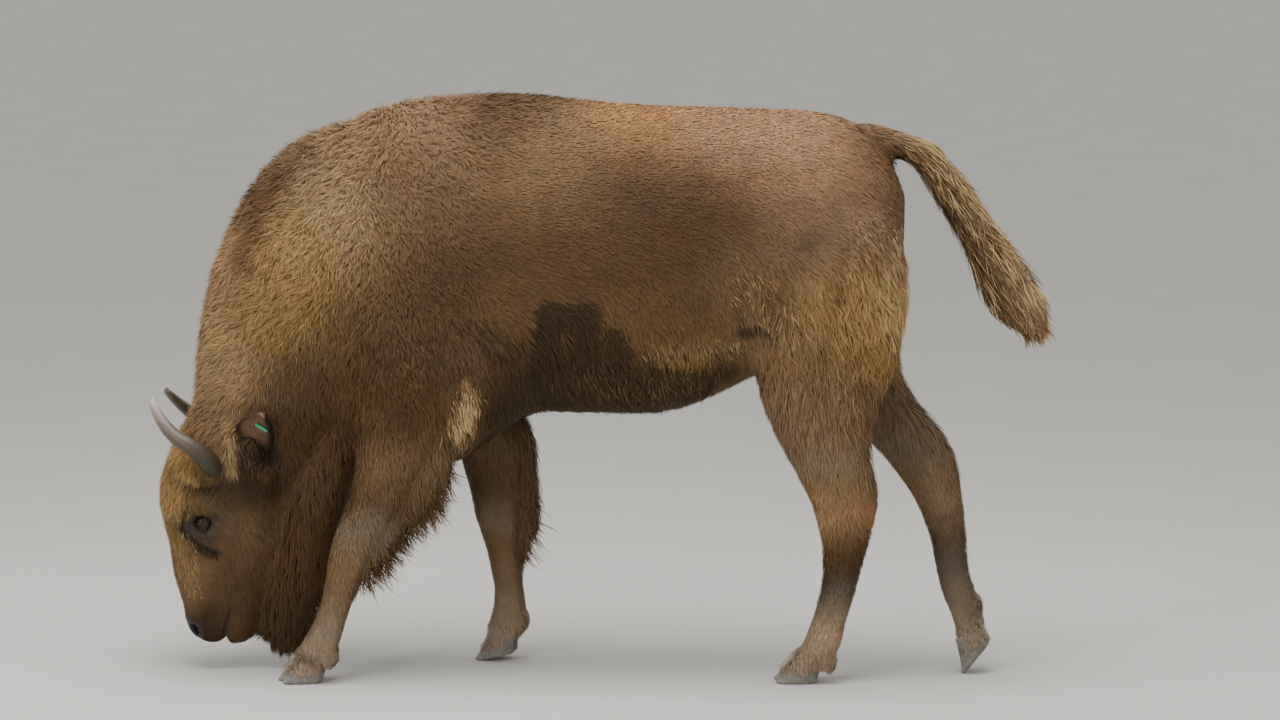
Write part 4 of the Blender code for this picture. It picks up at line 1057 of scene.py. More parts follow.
# piece, nodes its tufts grow on, side (0 for both), and from and to as shares of the length
COAT_PIECES = (
    ("coat_head_left", ("head", "jaw", "nose", "ear"), -1, -1, 2),
    ("coat_head_right", ("head", "jaw", "nose", "ear"), 1, -1, 2),
    ("coat_neck_left", ("neck",), -1, -1, 2),
    ("coat_neck_right", ("neck",), 1, -1, 2),
    ("coat_shoulder_left", ("trunk",), -1, -1, 0.44),
    ("coat_shoulder_right", ("trunk",), 1, -1, 0.44),
    ("coat_barrel_left", ("trunk",), -1, 0.44, 0.66),
    ("coat_barrel_right", ("trunk",), 1, 0.44, 0.66),
    ("coat_rump_left", ("trunk",), -1, 0.66, 2),
    ("coat_rump_right", ("trunk",), 1, 0.66, 2),
    ("coat_front_legs", ("leg_front_left", "leg_front_right", "fringe_left", "fringe_right"), 0, -1, 2),
    ("coat_hind_legs", ("leg_hind_left", "leg_hind_right"), 0, -1, 2),
    ("coat_beard", ("beard",), 0, -1, 2),
    ("coat_tail", ("tail", "tail_brush"), 0, -1, 2),
)
COVER = 150.0  # tufts side by side on a metre of skin, per metre of its length
MIDDLE_LENGTH = 44 * MM  # tufts longer than this bend in three places
LONG_LENGTH = 78 * MM  # and than this in five
STRAY = 6 * MM
ROOT_SINK = 1.5 * MM
PATCH = 0.0015  # half the size of a tuft's patch in the unwrap
TAPER = {  # width of a tuft from its root to before its tip, by its number of bends
    2: (0.75, 1.0),
    3: (0.7, 1.0, 0.75),
    5: (0.6, 0.95, 1.0, 0.85, 0.6),
}
TONE_AT = (0, 0.35, 1.0)  # shares of a tuft's length, and how light it is there
TONE_SHORT = (0.84, 0.98, 1.06)
TONE_LONG = (0.80, 0.96, 1.10)
SWAY = 38 * MM  # patches of skin whose tufts swing aside together, wide and narrow
TUSSLE = 9 * MM
LOCK_BASE = 5 * MM  # width of a lock, with a share of the tufts' length
LOCK_SHARE = 0.22
DRAW = 0.11  # how far tips are drawn into locks, as a share of the length, and how much further in long hair
MORE_DRAW = 0.12
ROLL = 0.30
GLOSS_SHARE = 0.6  # how far a tuft is lit by its own lie rather than the body's form


class Skin:
    """The finished skin as arrays, with what the coat needs to know at every corner."""

    def __init__(self):
        mesh, fields, bare, leather, labels, names = body_skin()
        self.names = names + ("ear",)
        for side, sign in SIDES:
            ear, ear_fields, ear_bare = ear_skin(side, sign)
            add_mesh(mesh, ear)
            fields = np.vstack((fields, ear_fields))
            bare = np.append(bare, ear_bare)
            leather = np.append(leather, np.zeros(len(ear_fields)))
            labels = np.append(labels, np.full(len(ear_fields), len(names)))
        self.mesh = mesh
        self.points = corners_of(mesh)
        self.normals = normals_of(mesh)
        self.fields = fields
        self.bare = bare
        self.leather = leather
        self.labels = labels
        free = np.isin(labels, [names.index(name) for name in LONG_HAIR]).astype(float)
        self.lie = lie_over(self.normals, fields, self.points, free)
        near_claw = smooth_step(Claws().distance(self.points), 30 * MM, 10 * MM)
        near_claw = near_claw * (self.points[:, 2] < FETLOCK_TOP)
        self.lie = unit(self.lie + self.normals * (0.30 * near_claw)[:, None])
        self.fields[:, TUFT_DEPTH] += 8 * MM * near_claw
        self.triangles = triangles_of(mesh)
        self.tree = tree_over(self.points, self.triangles)
        self.density = self.tufts_per_area() * (1 - smooth_step(bare, 0.1, 0.9))

    def tufts_per_area(self):
        """Finer and shorter hair needs more tufts to cover the same skin (per square metre)."""
        return COVER / self.fields[:, TUFT_WIDTH] * (25 * MM / self.fields[:, TUFT_LENGTH]) ** 0.4

    def nearest(self, points):
        found = [self.tree.find_nearest(p) for p in points.tolist()]
        place_on = np.array([f[0] for f in found])
        outward = np.array([f[1] for f in found])
        face = np.array([f[2] for f in found])
        return place_on, outward, face


def piece_of_faces(skin):
    """For each triangle of the skin, the coat piece that covers it."""
    middle = skin.points[skin.triangles].mean(axis=1)
    label = skin.labels[skin.triangles[:, 0]]
    along = (middle[:, 0] - cad_low.x) / LENGTH
    out = np.zeros(len(middle), int)
    for k, (_, nodes, side, start, end) in enumerate(COAT_PIECES):
        mine = np.isin(label, [skin.names.index(n) for n in nodes])
        mine &= (along >= start) & (along < end)
        if side:
            mine &= middle[:, 1] * side > 0
        out[mine] = k
    return out


def unwrapped(skin, faces):
    """Where the corners of these triangles lie on a flat unwrap of this part of the skin."""
    used, compact = np.unique(skin.triangles[faces], return_inverse=True)
    mesh = bpy.data.meshes.new("unwrap")
    mesh.from_pydata(skin.points[used].tolist(), [], compact.reshape(-1, 3).tolist())
    piece = new_object("unwrap", mesh)
    bpy.context.view_layer.objects.active = piece
    piece.select_set(True)
    mesh.uv_layers.new(name="flat")
    bpy.ops.object.mode_set(mode="EDIT")
    bpy.ops.mesh.select_all(action="SELECT")
    bpy.ops.uv.smart_project(angle_limit=radians(70), island_margin=0.004)
    bpy.ops.object.mode_set(mode="OBJECT")
    flat = np.empty(len(mesh.loops) * 2)
    mesh.uv_layers["flat"].data.foreach_get("uv", flat)
    order = np.empty(len(mesh.loops), np.int32)
    mesh.loops.foreach_get("vertex_index", order)
    flat = flat.reshape(-1, 3, 2)
    order = order.reshape(-1, 3)
    matched = (order == compact.reshape(-1, 3)).all()
    bpy.data.objects.remove(piece, do_unlink=True)
    bpy.data.meshes.remove(mesh)
    if not matched:
        raise ValueError("the unwrap lost the order of its triangles")
    return flat


def roots_on(skin, faces, density_scale):
    """Evenly scattered roots: triangle, and shares of its corners."""
    corners = skin.points[skin.triangles[faces]]
    area = np.linalg.norm(np.cross(corners[:, 1] - corners[:, 0], corners[:, 2] - corners[:, 0]), axis=1) / 2
    wanted = area * skin.density[skin.triangles[faces]].mean(axis=1) * density_scale
    heap = np.cumsum(wanted)
    count = int(heap[-1])
    picks = (np.arange(count) + rng.random(count)) / count * heap[-1]
    chosen = np.minimum(np.searchsorted(heap, picks), len(faces) - 1)
    a = np.sqrt(rng.random(count))
    b = rng.random(count)
    return chosen, np.column_stack((1 - a, a * (1 - b), a * b))


def blend_corners(values, skin, faces, chosen, shares):
    return (values[skin.triangles[faces][chosen]] * shares[..., None]).sum(axis=1)


def bend_count(length):
    short, middle, long = TAPER
    return np.where(length > LONG_LENGTH, long, np.where(length > MIDDLE_LENGTH, middle, short))


def gathered(points, grain):
    """A push that draws neighbouring tips together into locks."""
    step = 0.25 * grain
    push = np.zeros_like(points)
    here = cloud(points, grain, 5)
    for k in range(3):
        moved = points.copy()
        moved[:, k] += step
        push[:, k] = (cloud(moved, grain, 5) - here) / 0.25
    return push


def grown(skin, root, normal, way, length, depth, tousle, bends):
    """The middle line of each tuft as rows of points, and the outward direction at each row."""
    count = len(root)
    across = unit(np.cross(normal, way))
    swing = cloud(root, SWAY, 11) * 0.45 + cloud(root, TUSSLE, 12) * 0.75 + rng.normal(0, 0.20, count)
    way = unit(way + across * (swing * tousle * 1.5)[:, None])
    rise = depth * np.clip(rng.normal(1.0, 0.10 + 0.24 * tousle, count), 0.35, 1.9)
    lines = np.empty((count, bends + 1, 3))
    outs = np.empty((count, bends + 1, 3))
    lines[:, 0] = root - normal * ROOT_SINK
    outs[:, 0] = normal
    if bends == 2:
        surface, outward, _ = skin.nearest(root + way * length[:, None])
        lines[:, 2] = surface + outward * rise[:, None]
        lines[:, 1] = root + way * (0.46 * length)[:, None] + normal * (0.66 * rise)[:, None]
        outs[:, 1] = normal
        outs[:, 2] = outward
    else:
        step = (length / bends)[:, None]
        here = root.copy()
        place_now = lines[:, 0]
        for k in range(1, bends + 1):
            surface, outward, face = skin.nearest(here + way * step)
            gone = np.linalg.norm(here + way * step - surface, axis=1)[:, None]
            off = smooth_step(gone / step, 0.45, 0.9)
            height = rise[:, None] * (k / bends) ** 0.55
            lines[:, k] = (surface + outward * height) * (1 - off) + (place_now + way * step) * off
            outs[:, k] = unit(outward * (1 - off) + outs[:, k - 1] * off)
            way_there = skin.lie[skin.triangles[face][:, 0]]
            way_there = unit(way_there + across * (swing * tousle)[:, None])
            here = surface * (1 - off) + (here + way * step) * off
            way = unit(way * (0.45 + 0.55 * off) + way_there * 0.55 * (1 - off))
            place_now = lines[:, k]
    lock = LOCK_BASE + LOCK_SHARE * length.mean()
    draw = DRAW + MORE_DRAW * smooth_step(length, 60 * MM, 100 * MM)
    pull = gathered(lines[:, -1], lock) * (draw * length * (0.4 + tousle))[:, None]
    pull -= outs[:, -1] * (pull * outs[:, -1]).sum(axis=1, keepdims=True)
    size = np.linalg.norm(pull, axis=1, keepdims=True)
    pull *= np.minimum(1, 0.35 * length[:, None] / np.maximum(size, 1e-9))
    turn = rng.random(count) * tau
    for k in range(1, bends + 1):
        share = k / bends
        lines[:, k] += pull * share ** 1.6
        if bends > 2:
            wave = np.sin(turn + share * 5.5) * (0.045 + 0.05 * tousle) * length * share
            lines[:, k] += across * wave[:, None]
    return lines, outs


def strips(lines, outs, width):
    """Flat tapered strips along the lines: corners and shading normals by tuft, and one tuft's triangles."""
    count, rows = lines.shape[:2]
    bends = rows - 1
    run = np.empty_like(lines)
    run[:, 1:-1] = lines[:, 2:] - lines[:, :-2]
    run[:, 0] = lines[:, 1] - lines[:, 0]
    run[:, -1] = lines[:, -1] - lines[:, -2]
    across = unit(np.cross(outs, run))
    roll = rng.normal(0, ROLL, count)[:, None, None]
    across = unit(across + outs * roll)
    facing = unit(np.cross(across, run))
    facing *= np.sign((facing * outs).sum(axis=2, keepdims=True))
    facing = unit(facing * GLOSS_SHARE + outs)
    taper = TAPER[bends]
    corners = np.empty((count, 2 * bends + 1, 3))
    shading = np.empty_like(corners)
    for k in range(bends):
        half = (0.5 * taper[k] * width)[:, None]
        corners[:, 2 * k] = lines[:, k] - across[:, k] * half
        corners[:, 2 * k + 1] = lines[:, k] + across[:, k] * half
        shading[:, 2 * k] = facing[:, k]
        shading[:, 2 * k + 1] = facing[:, k]
    corners[:, -1] = lines[:, -1]
    shading[:, -1] = facing[:, -1]
    faces = []
    for k in range(bends - 1):
        a = 2 * k
        faces += [(a, a + 3, a + 1), (a, a + 2, a + 3)]
    faces.append((2 * bends - 2, 2 * bends, 2 * bends - 1))
    return corners, shading, np.array(faces)


def grow_piece(skin, name, faces, density_scale):
    """All the tufts of one coat piece as one mesh."""
    flat = unwrapped(skin, faces)
    chosen, shares = roots_on(skin, faces, density_scale)
    root = blend_corners(skin.points, skin, faces, chosen, shares)
    normal = unit(blend_corners(skin.normals, skin, faces, chosen, shares))
    way = unit(blend_corners(skin.lie, skin, faces, chosen, shares))
    fields = blend_corners(skin.fields, skin, faces, chosen, shares)
    spot = (flat[chosen] * shares[..., None]).sum(axis=1)
    length = fields[:, TUFT_LENGTH] * np.clip(rng.normal(1.0, 0.16, len(root)), 0.6, 1.5)
    patch_shade = 1 + 0.09 * cloud(root, 150 * MM, 25) + 0.09 * cloud(root, 70 * MM, 21)
    patch_shade += 0.11 * cloud(root, 24 * MM, 24) + 0.09 * cloud(root, 11 * MM, 22)
    shade = patch_shade * np.clip(rng.normal(1.0, 0.08, len(root)), 0.7, 1.35)
    warmth = 0.05 * cloud(root, 45 * MM, 23) + rng.normal(0, 0.03, len(root))
    tint = np.column_stack((1 + warmth, np.ones(len(root)), 1 - warmth))
    marked_and_shaded_hair = with_markings_and_painted_shade(root, normal, fields[:, COLOUR], rng.normal(0, STRAY, len(root)))
    colour = with_streaks(root, normal, marked_and_shaded_hair) * shade[:, None] * tint
    bends = bend_count(fields[:, TUFT_LENGTH])
    vertices, facings, triangles, colours, spots = [], [], [], [], []
    start = 0
    for kind in TAPER:
        mine = bends == kind
        if not mine.any():
            continue
        lines, outs = grown(skin, root[mine], normal[mine], way[mine], length[mine],
                            fields[mine, TUFT_DEPTH], fields[mine, TOUSLE], kind)
        width = fields[mine, TUFT_WIDTH] * np.clip(rng.normal(1.0, 0.2, mine.sum()), 0.5, 1.6)
        corners, shading, one = strips(lines, outs, width)
        count, each = corners.shape[:2]
        vertices.append(corners.reshape(-1, 3))
        facings.append(shading.reshape(-1, 3))
        triangles.append((one[None] + (start + np.arange(count) * each)[:, None, None]).reshape(-1, 3))
        rows = np.append(np.repeat(np.arange(kind) / kind, 2), 1.0)
        tone = np.interp(rows, TONE_AT, TONE_SHORT if kind == 2 else TONE_LONG)
        colours.append((colour[mine][:, None] * tone[None, :, None]).reshape(-1, 3))
        side = np.append(np.tile((-1.0, 1.0), kind), 0.0)
        local = np.column_stack((side, rows * 2 - 1)) * PATCH
        spots.append((spot[mine][:, None] + local[None]).reshape(-1, 2))
        start += count * each
    return mesh_from_arrays(name, vertices, facings, triangles, colours, spots)


def mesh_from_arrays(name, vertices, facings, triangles, colours, spots):
    vertices = np.vstack(vertices).astype(np.float32)
    triangles = np.vstack(triangles).astype(np.int32)
    colours = np.vstack(colours)
    spots = np.vstack(spots)
    mesh = bpy.data.meshes.new(name)
    mesh.vertices.add(len(vertices))
    mesh.vertices.foreach_set("co", vertices.ravel())
    mesh.loops.add(triangles.size)
    mesh.loops.foreach_set("vertex_index", triangles.ravel())
    mesh.polygons.add(len(triangles))
    mesh.polygons.foreach_set("loop_start", np.arange(0, triangles.size, 3, dtype=np.int32))
    mesh.update(calc_edges=True)
    shade_smooth(mesh)
    mesh.normals_split_custom_set_from_vertices(np.vstack(facings).tolist())
    paint_corners(mesh, colours)
    layer = mesh.uv_layers.new(name="OFBake")
    layer.data.foreach_set("uv", spots[triangles.ravel()].astype(np.float32).ravel())
    return mesh


def paint_corners(mesh, colours):
    """Stores a linear colour at every corner under the name Markings."""
    layer = mesh.color_attributes.new("Markings", "FLOAT_COLOR", "POINT")
    rgba = np.ones((len(mesh.vertices), 4), np.float32)
    rgba[:, :3] = np.clip(colours, 0, 1)
    layer.data.foreach_set("color", rgba.ravel())


# --- horns, hooves, eyes ---------------------------------------------------------------------------------

# Shares of a horn's box: along, outward, up; then the radius (mm)
HORN_LINE = (
    (0.965, -0.230, -0.064, 29.0),
    (0.872, 0.310, 0.126, 28.5),
    (0.758, 0.611, 0.300, 26.0),
    (0.589, 0.781, 0.437, 22.5),
    (0.398, 0.741, 0.553, 19.0),
    (0.201, 0.500, 0.733, 15.0),
    (0.052, 0.120, 0.928, 10.0),
    (0.036, 0.040, 0.991, 4.0),
)
# From root to tip; the pale lilac grey toward the tip is painted reflection of the sky.
HORN_COLOURS = (
    (0.00, "#201a10"), (0.20, "#281f12"), (0.30, "#3a3020"), (0.42, "#483c2d"), (0.60, "#594b3e"),
    (0.75, "#6e6056"), (0.90, "#948780"), (1.00, "#b0a49b"),
)
# Painted shade, laid on the lower side of the horns' root half and on their inner side.
HORN_SHADE = linear("#2c2a14")
HORN_SIDES = 36
RING_STEP = 5.2 * MM  # growth rings, which fade out at this share of the horn
RING_END = 0.62
SWELL_STEP = 13.0 * MM
FLUTES = 9
HOOF_COLOURS = ((0.0, "#7d7a70"), (0.5, "#66645e"), (1.0, "#868175"))
SPUR_COLOURS = ((0.0, "#4b4238"), (1.0, "#3a3029"))
KERATIN_GRAIN = 2.2 * MM
DEWCLAW_SHARE = 0.82  # a dewclaw's horn beside its solid, which holds the hair round it too


def ramp(share, stops):
    """Linear colours at these shares between the stops."""
    at = [stop[0] for stop in stops]
    table = np.array([linear(stop[1]) for stop in stops])
    return np.column_stack([np.interp(share, at, table[:, k]) for k in range(3)])


def horn(side, sign):
    """A smooth tapering sheath with faint growth rings near its root."""
    node = "horn_" + side
    rows = [(*in_box(node, *row[:3]), row[3] * MM) for row in HORN_LINE]
    line = curve_through(rows, 16)
    centres = line[:, :3]
    run = unit(np.gradient(centres, axis=0))
    length = np.append(0, np.cumsum(np.linalg.norm(np.diff(centres, axis=0), axis=1)))
    share = length / length[-1]
    side_way = unit(np.cross(run, np.array((0.0, 0.0, 1.0))))
    up_way = np.cross(side_way, run)
    rings = []
    shares = []
    for k in range(len(centres)):
        ridge = 0.010 * sin(length[k] / RING_STEP * tau) * max(0.0, 1 - share[k] / RING_END)
        ridge += 0.006 * sin(length[k] / SWELL_STEP * tau)
        turn = np.arange(HORN_SIDES) * tau / HORN_SIDES
        flute = 1 + ridge + 0.004 * np.sin(turn * FLUTES + share[k] * 2)
        radius = line[k, 3] * flute
        rings.append(centres[k] + (np.cos(turn) * radius)[:, None] * side_way[k]
                     + (np.sin(turn) * radius * 0.94)[:, None] * up_way[k])
        shares += [share[k]] * HORN_SIDES
    tip = centres[-1] + run[-1] * line[-1, 3] * 0.8
    rings.append([tip + (p - centres[-1]) * 0.45 for p in rings[-1]])
    shares += [1.0] * HORN_SIDES
    mesh = lofted([[Vector(p) for p in ring] for ring in rings])
    shade_smooth(mesh)
    shares = np.array(shares)
    streak = 1 + 0.08 * cloud(corners_of(mesh), 7 * MM, 31)
    colour = ramp(shares, HORN_COLOURS) * streak[:, None]
    facing = normals_of(mesh)
    # Painted shade on the lower side of the root half and on the inner side.
    below = smooth_step(facing[:, 2], 0.0, -0.8) * smooth_step(shares, 0.65, 0.35)
    within = smooth_step(-facing[:, 1] * sign, 0.0, 0.6)
    paint_corners(mesh, tinted(colour, np.maximum(0.7 * below, 0.75 * within), HORN_SHADE))
    return mesh


def keratin(names, colours, ridge, size=1.0):
    """Claws rounded from the solids, with growth ridges round them; size is a share of the solids' own."""
    mesh = None
    shades = []
    for name in names:
        claw = with_modifier(resized(name, size), "REMESH", mode="VOXEL", voxel_size=KERATIN_GRAIN)
        ends = edge_ends(claw)
        points = fair(corners_of(claw), ends, 5)
        set_corners(claw, points)
        low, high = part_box(name)
        up = (points[:, 2] - low.z) / (high.z - low.z)
        wave = np.sin((points[:, 2] - 0.35 * points[:, 0]) / (4.6 * MM) * tau) * ridge
        wave *= smooth_step(up, 0.08, 0.25)
        points = points + normals_of(claw) * wave[:, None]
        set_corners(claw, points)
        soil = 1 + 0.12 * cloud(points, 9 * MM, 41) + 0.10 * cloud(points, 3 * MM, 42)
        shades.append(ramp(up, colours) * soil[:, None])
        if mesh is None:
            mesh = claw
        else:
            add_mesh(mesh, claw)
    shade_smooth(mesh)
    paint_corners(mesh, np.vstack(shades))
    return mesh


BALL_RINGS, BALL_SIDES = 40, 48
CORNEA_RISE = 0.055  # share of the radius
CORNEA_HALF_ANGLE = 0.50


def eyeball(side, sign):
    """A ball with the clear cornea's bulge, looking along its own Z."""
    radius = eye_radius(side)
    rings = []
    for k in range(1, BALL_RINGS):
        polar = pi * k / BALL_RINGS
        bulge = 1 + CORNEA_RISE * float(np.exp(-(polar / CORNEA_HALF_ANGLE) ** 4))
        rings.append([Vector((cos(t) * sin(polar), sin(t) * sin(polar), cos(polar))) * radius * bulge
                      for t in np.arange(BALL_SIDES) * tau / BALL_SIDES])
    mesh = lofted(rings)
    shade_smooth(mesh)
    piece = new_object("eyeball_" + side, mesh)
    along, across, out = eye_axes(sign)
    axes = Matrix((along, across, out) if sign > 0 else (-along, across, out)).transposed()
    if axes.determinant() < 0:
        axes = axes @ Matrix.Diagonal((-1.0, 1.0, 1.0))
    piece.matrix_world = Matrix.Translation(box_centre("eye_" + side)) @ axes.to_4x4()
    return piece


# --- materials -------------------------------------------------------------------------------------------


def new_material(name):
    """A material and its surface shader."""
    material = bpy.data.materials.new(name)
    material.use_nodes = True
    return material, material.node_tree.nodes["Principled BSDF"]


def add_node(material, kind, settings=(), values=(), links=()):
    """A node with its settings, socket values and incoming links (socket, source socket)."""
    node = material.node_tree.nodes.new(kind)
    for key, value in dict(settings).items():
        setattr(node, key, value)
    for key, value in dict(values).items():
        node.inputs[key].default_value = value
    for key, source in dict(links).items():
        material.node_tree.links.new(source, node.inputs[key])
    return node


def feed(material, shader, **sources):
    for key, source in sources.items():
        material.node_tree.links.new(source, shader.inputs[key.replace("_", " ").title()])


def set_values(shader, **values):
    for key, value in values.items():
        shader.inputs[key.replace("_", " ").title().replace("Ior", "IOR")].default_value = value


def marked(material):
    return add_node(material, "ShaderNodeVertexColor", {"layer_name": "Markings"}).outputs["Color"]


def noise(material, size, detail, stretch=(1, 1, 1)):
    """Noise in the piece's own coordinates, with features about this size in metres."""
    where = add_node(material, "ShaderNodeTexCoord").outputs["Object"]
    scaled = add_node(material, "ShaderNodeMapping", {}, {"Scale": stretch}, {"Vector": where})
    values = {"Scale": 1.0 / size, "Detail": detail}
    return add_node(material, "ShaderNodeTexNoise", {}, values, {"Vector": scaled.outputs["Vector"]})


def spread(material, value, start=0.0, end=1.0, low=0.0, high=1.0):
    """The value's run from start to end, stretched from low to high."""
    ends = {"From Min": start, "From Max": end, "To Min": low, "To Max": high}
    return add_node(material, "ShaderNodeMapRange", {}, ends, {"Value": value}).outputs["Result"]


def scaled_colour(material, colour, share):
    return add_node(material, "ShaderNodeVectorMath", {"operation": "SCALE"}, {},
                    {0: colour, "Scale": share}).outputs["Vector"]


def varied(material, colour, grain, low, high):
    """The colour made lighter and darker by a noise."""
    return scaled_colour(material, colour, spread(material, grain, 0.3, 0.7, low, high))


def plain(material, code):
    """One colour as a node, for noises to vary."""
    colour = add_node(material, "ShaderNodeRGB")
    colour.outputs[0].default_value = (*linear(code), 1)
    return colour.outputs[0]


def bumped(material, height, distance, strength=1.0):
    return add_node(material, "ShaderNodeBump", {}, {"Distance": distance, "Strength": strength},
                    {"Height": height}).outputs["Normal"]


def combed(material, size, reach, count):
    """Noise smeared along the lie of the coat, so that it reads as fine hair lying flat."""
    where = add_node(material, "ShaderNodeTexCoord").outputs["Object"]
    lie = add_node(material, "ShaderNodeAttribute", {"attribute_name": "Lie"}).outputs["Vector"]
    total = None
    for k in range(count):
        offset = (k / (count - 1) - 0.5) * reach
        moved = add_node(material, "ShaderNodeVectorMath", {"operation": "MULTIPLY_ADD"},
                         {1: (offset, offset, offset)}, {0: lie, 2: where}).outputs["Vector"]
        grain = add_node(material, "ShaderNodeTexNoise", {}, {"Scale": 1.0 / size, "Detail": 1.0},
                         {"Vector": moved}).outputs["Fac"]
        if total is None:
            total = grain
        else:
            total = add_node(material, "ShaderNodeMath", {"operation": "ADD"}, {},
                             {0: total, 1: grain}).outputs["Value"]
    return spread(material, total, 0.40 * count, 0.60 * count)


def hair_material():
    """Dense hair in tufts: a soft broad gloss along each strand over uneven brown."""
    material, shader = new_material("Bovine hair, dense tufts")
    grain = noise(material, 3.5 * MM, 2).outputs["Fac"]
    colour = varied(material, marked(material), grain, 0.86, 1.14)
    feed(material, shader, base_color=colour)
    set_values(shader, roughness=0.68, specular_ior_level=0.22)
    return material


def skin_material():
    """Hide with short hair lying flat on it: fine parallel streaks, dull between them."""
    material, shader = new_material("Hide with short flat hair")
    streaks = combed(material, 1.3 * MM, 9 * MM, 7)
    colour = scaled_colour(material, marked(material), spread(material, streaks, low=0.62, high=1.20))
    feed(material, shader, base_color=colour, normal=bumped(material, streaks, 0.8 * MM, 0.8))
    set_values(shader, roughness=0.70, specular_ior_level=0.3)
    return material


def leather_material():
    """Bare moist muzzle skin: small raised cells with a wet sheen between them."""
    material, shader = new_material("Moist muzzle leather")
    where = add_node(material, "ShaderNodeTexCoord").outputs["Object"]
    cells = add_node(material, "ShaderNodeTexVoronoi", {"feature": "F1"}, {"Scale": 1.0 / (2.6 * MM)},
                     {"Vector": where}).outputs["Distance"]
    patches = noise(material, 9 * MM, 2).outputs["Fac"]
    feed(material, shader, base_color=varied(material, marked(material), patches, 0.75, 1.3),
         normal=bumped(material, cells, -0.5 * MM, 0.8))
    set_values(shader, roughness=0.48, specular_ior_level=0.35)
    return material


def horn_material():
    """Keratin sheath worn smooth: long fibres and a low satin gloss."""
    material, shader = new_material("Horn sheath, worn smooth")
    fibres = noise(material, 4 * MM, 4, (1.0, 1.0, 0.35)).outputs["Fac"]
    scratches = noise(material, 1.5 * MM, 2).outputs["Fac"]
    feed(material, shader, base_color=varied(material, marked(material), fibres, 0.80, 1.2),
         normal=bumped(material, scratches, 0.25 * MM, 0.5))
    feed(material, shader, roughness=spread(material, fibres, low=0.36, high=0.58))
    return material


def hoof_material():
    """Hoof horn: ridged, dusty and dull, paler where soil has dried on."""
    material, shader = new_material("Hoof horn, dusty")
    dust = noise(material, 12 * MM, 4).outputs["Fac"]
    scratches = noise(material, 2 * MM, 3, (1.0, 1.0, 3.0)).outputs["Fac"]
    feed(material, shader, base_color=varied(material, marked(material), dust, 0.72, 1.28),
         normal=bumped(material, scratches, 0.4 * MM, 0.7))
    set_values(shader, roughness=0.66)
    return material


PUPIL_SQUEEZE = (1.0, 1.9, 0.0)
IRIS_STOPS = ((0.0, "#3a2212"), (0.58, "#241509"), (0.70, "#4a3c33"))  # share of the radius, colour


def eye_material(radius):
    """Wet eye: dark brown iris with a level slot of a pupil under a clear cornea."""
    material, shader = new_material("Eyeball, wet and clear")
    where = add_node(material, "ShaderNodeTexCoord").outputs["Object"]
    parts = add_node(material, "ShaderNodeSeparateXYZ", {}, {}, {"Vector": where}).outputs
    flat = add_node(material, "ShaderNodeCombineXYZ", {}, {}, {"X": parts["X"], "Y": parts["Y"]})
    slot = add_node(material, "ShaderNodeVectorMath", {"operation": "MULTIPLY"}, {1: PUPIL_SQUEEZE},
                    {0: flat.outputs["Vector"]})
    reach, slot_reach = [add_node(material, "ShaderNodeVectorMath", {"operation": "LENGTH"}, {},
                                  {0: source.outputs["Vector"]}).outputs["Value"] for source in (flat, slot)]
    share = add_node(material, "ShaderNodeMath", {"operation": "DIVIDE"}, {1: radius}, {0: reach})
    iris = add_node(material, "ShaderNodeValToRGB", {}, {}, {"Fac": share.outputs["Value"]})
    stops = iris.color_ramp.elements
    stops.new(IRIS_STOPS[2][0])
    for stop, (position, code) in zip(stops, IRIS_STOPS):
        stop.position = position
        stop.color = (*linear(code), 1)
    pupil = spread(material, slot_reach, 0.36 * radius, 0.44 * radius)
    mixed = add_node(material, "ShaderNodeMix", {"data_type": "RGBA"}, {6: (*linear("#070505"), 1)},
                     {"Factor": pupil, 7: iris.outputs["Color"]})
    feed(material, shader, base_color=mixed.outputs[2])
    set_values(shader, roughness=0.30, specular_ior_level=0.1)
    set_values(shader, coat_weight=1.0, coat_roughness=0.03, coat_ior=1.34)
    return material


def tag_material():
    """Moulded flexible plastic: even colour, slight sheen, scuffed."""
    material, shader = new_material("Moulded green plastic, scuffed")
    scuffs = noise(material, 2.5 * MM, 3).outputs["Fac"]
    feed(material, shader, base_color=varied(material, plain(material, "#12a06a"), scuffs, 0.85, 1.12),
         normal=bumped(material, scuffs, 0.1 * MM, 0.4))
    set_values(shader, roughness=0.42)
    return material


def floor_material():
    """Matt studio floor paint: pale, with the faintest unevenness."""
    material, shader = new_material("Matt pale floor paint")
    grain = noise(material, 0.4, 3).outputs["Fac"]
    feed(material, shader, base_color=varied(material, plain(material, "#c9c7c2"), grain, 0.98, 1.02))
    set_values(shader, roughness=0.85)
    return material


# --- putting it together ---------------------------------------------------------------------------------


def dress(piece, material, nodes):
    """Gives a piece its material unless it has one, hangs it from the root body and hides the CAD nodes it
    replaces.
    """
    if not piece.data.materials:
        piece.data.materials.append(material)
    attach(piece, "root")
    for node in nodes:
        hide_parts(node)


skin = Skin()
hide = skin_material()
leather = leather_material()
hair = hair_material()

body = new_object("skin", skin.mesh)
# Under long hair the skin is painted darker: painted shade beneath the deep coat.
long_hair = smooth_step(skin.fields[:, TUFT_LENGTH], 22 * MM, 50 * MM)
long_hair = long_hair * (1 - smooth_step(skin.bare, 0.2, 0.8))
under_colour = with_markings_and_painted_shade(skin.points, skin.normals, skin.fields[:, COLOUR])
paint_corners(skin.mesh, under_colour * (0.96 - 0.18 * long_hair)[:, None])
lie_layer = skin.mesh.attributes.new("Lie", "FLOAT_VECTOR", "POINT")
lie_layer.data.foreach_set("vector", skin.lie.astype(np.float32).ravel())
shade_smooth(skin.mesh)
skin.mesh.materials.append(hide)
skin.mesh.materials.append(leather)
wet = np.array([skin.leather[list(face.vertices)].min() > 0.6 for face in skin.mesh.polygons])
skin.mesh.polygons.foreach_set("material_index", wet.astype(np.int32))
dress(body, hide, FLESH + ("ear_left", "ear_right"))

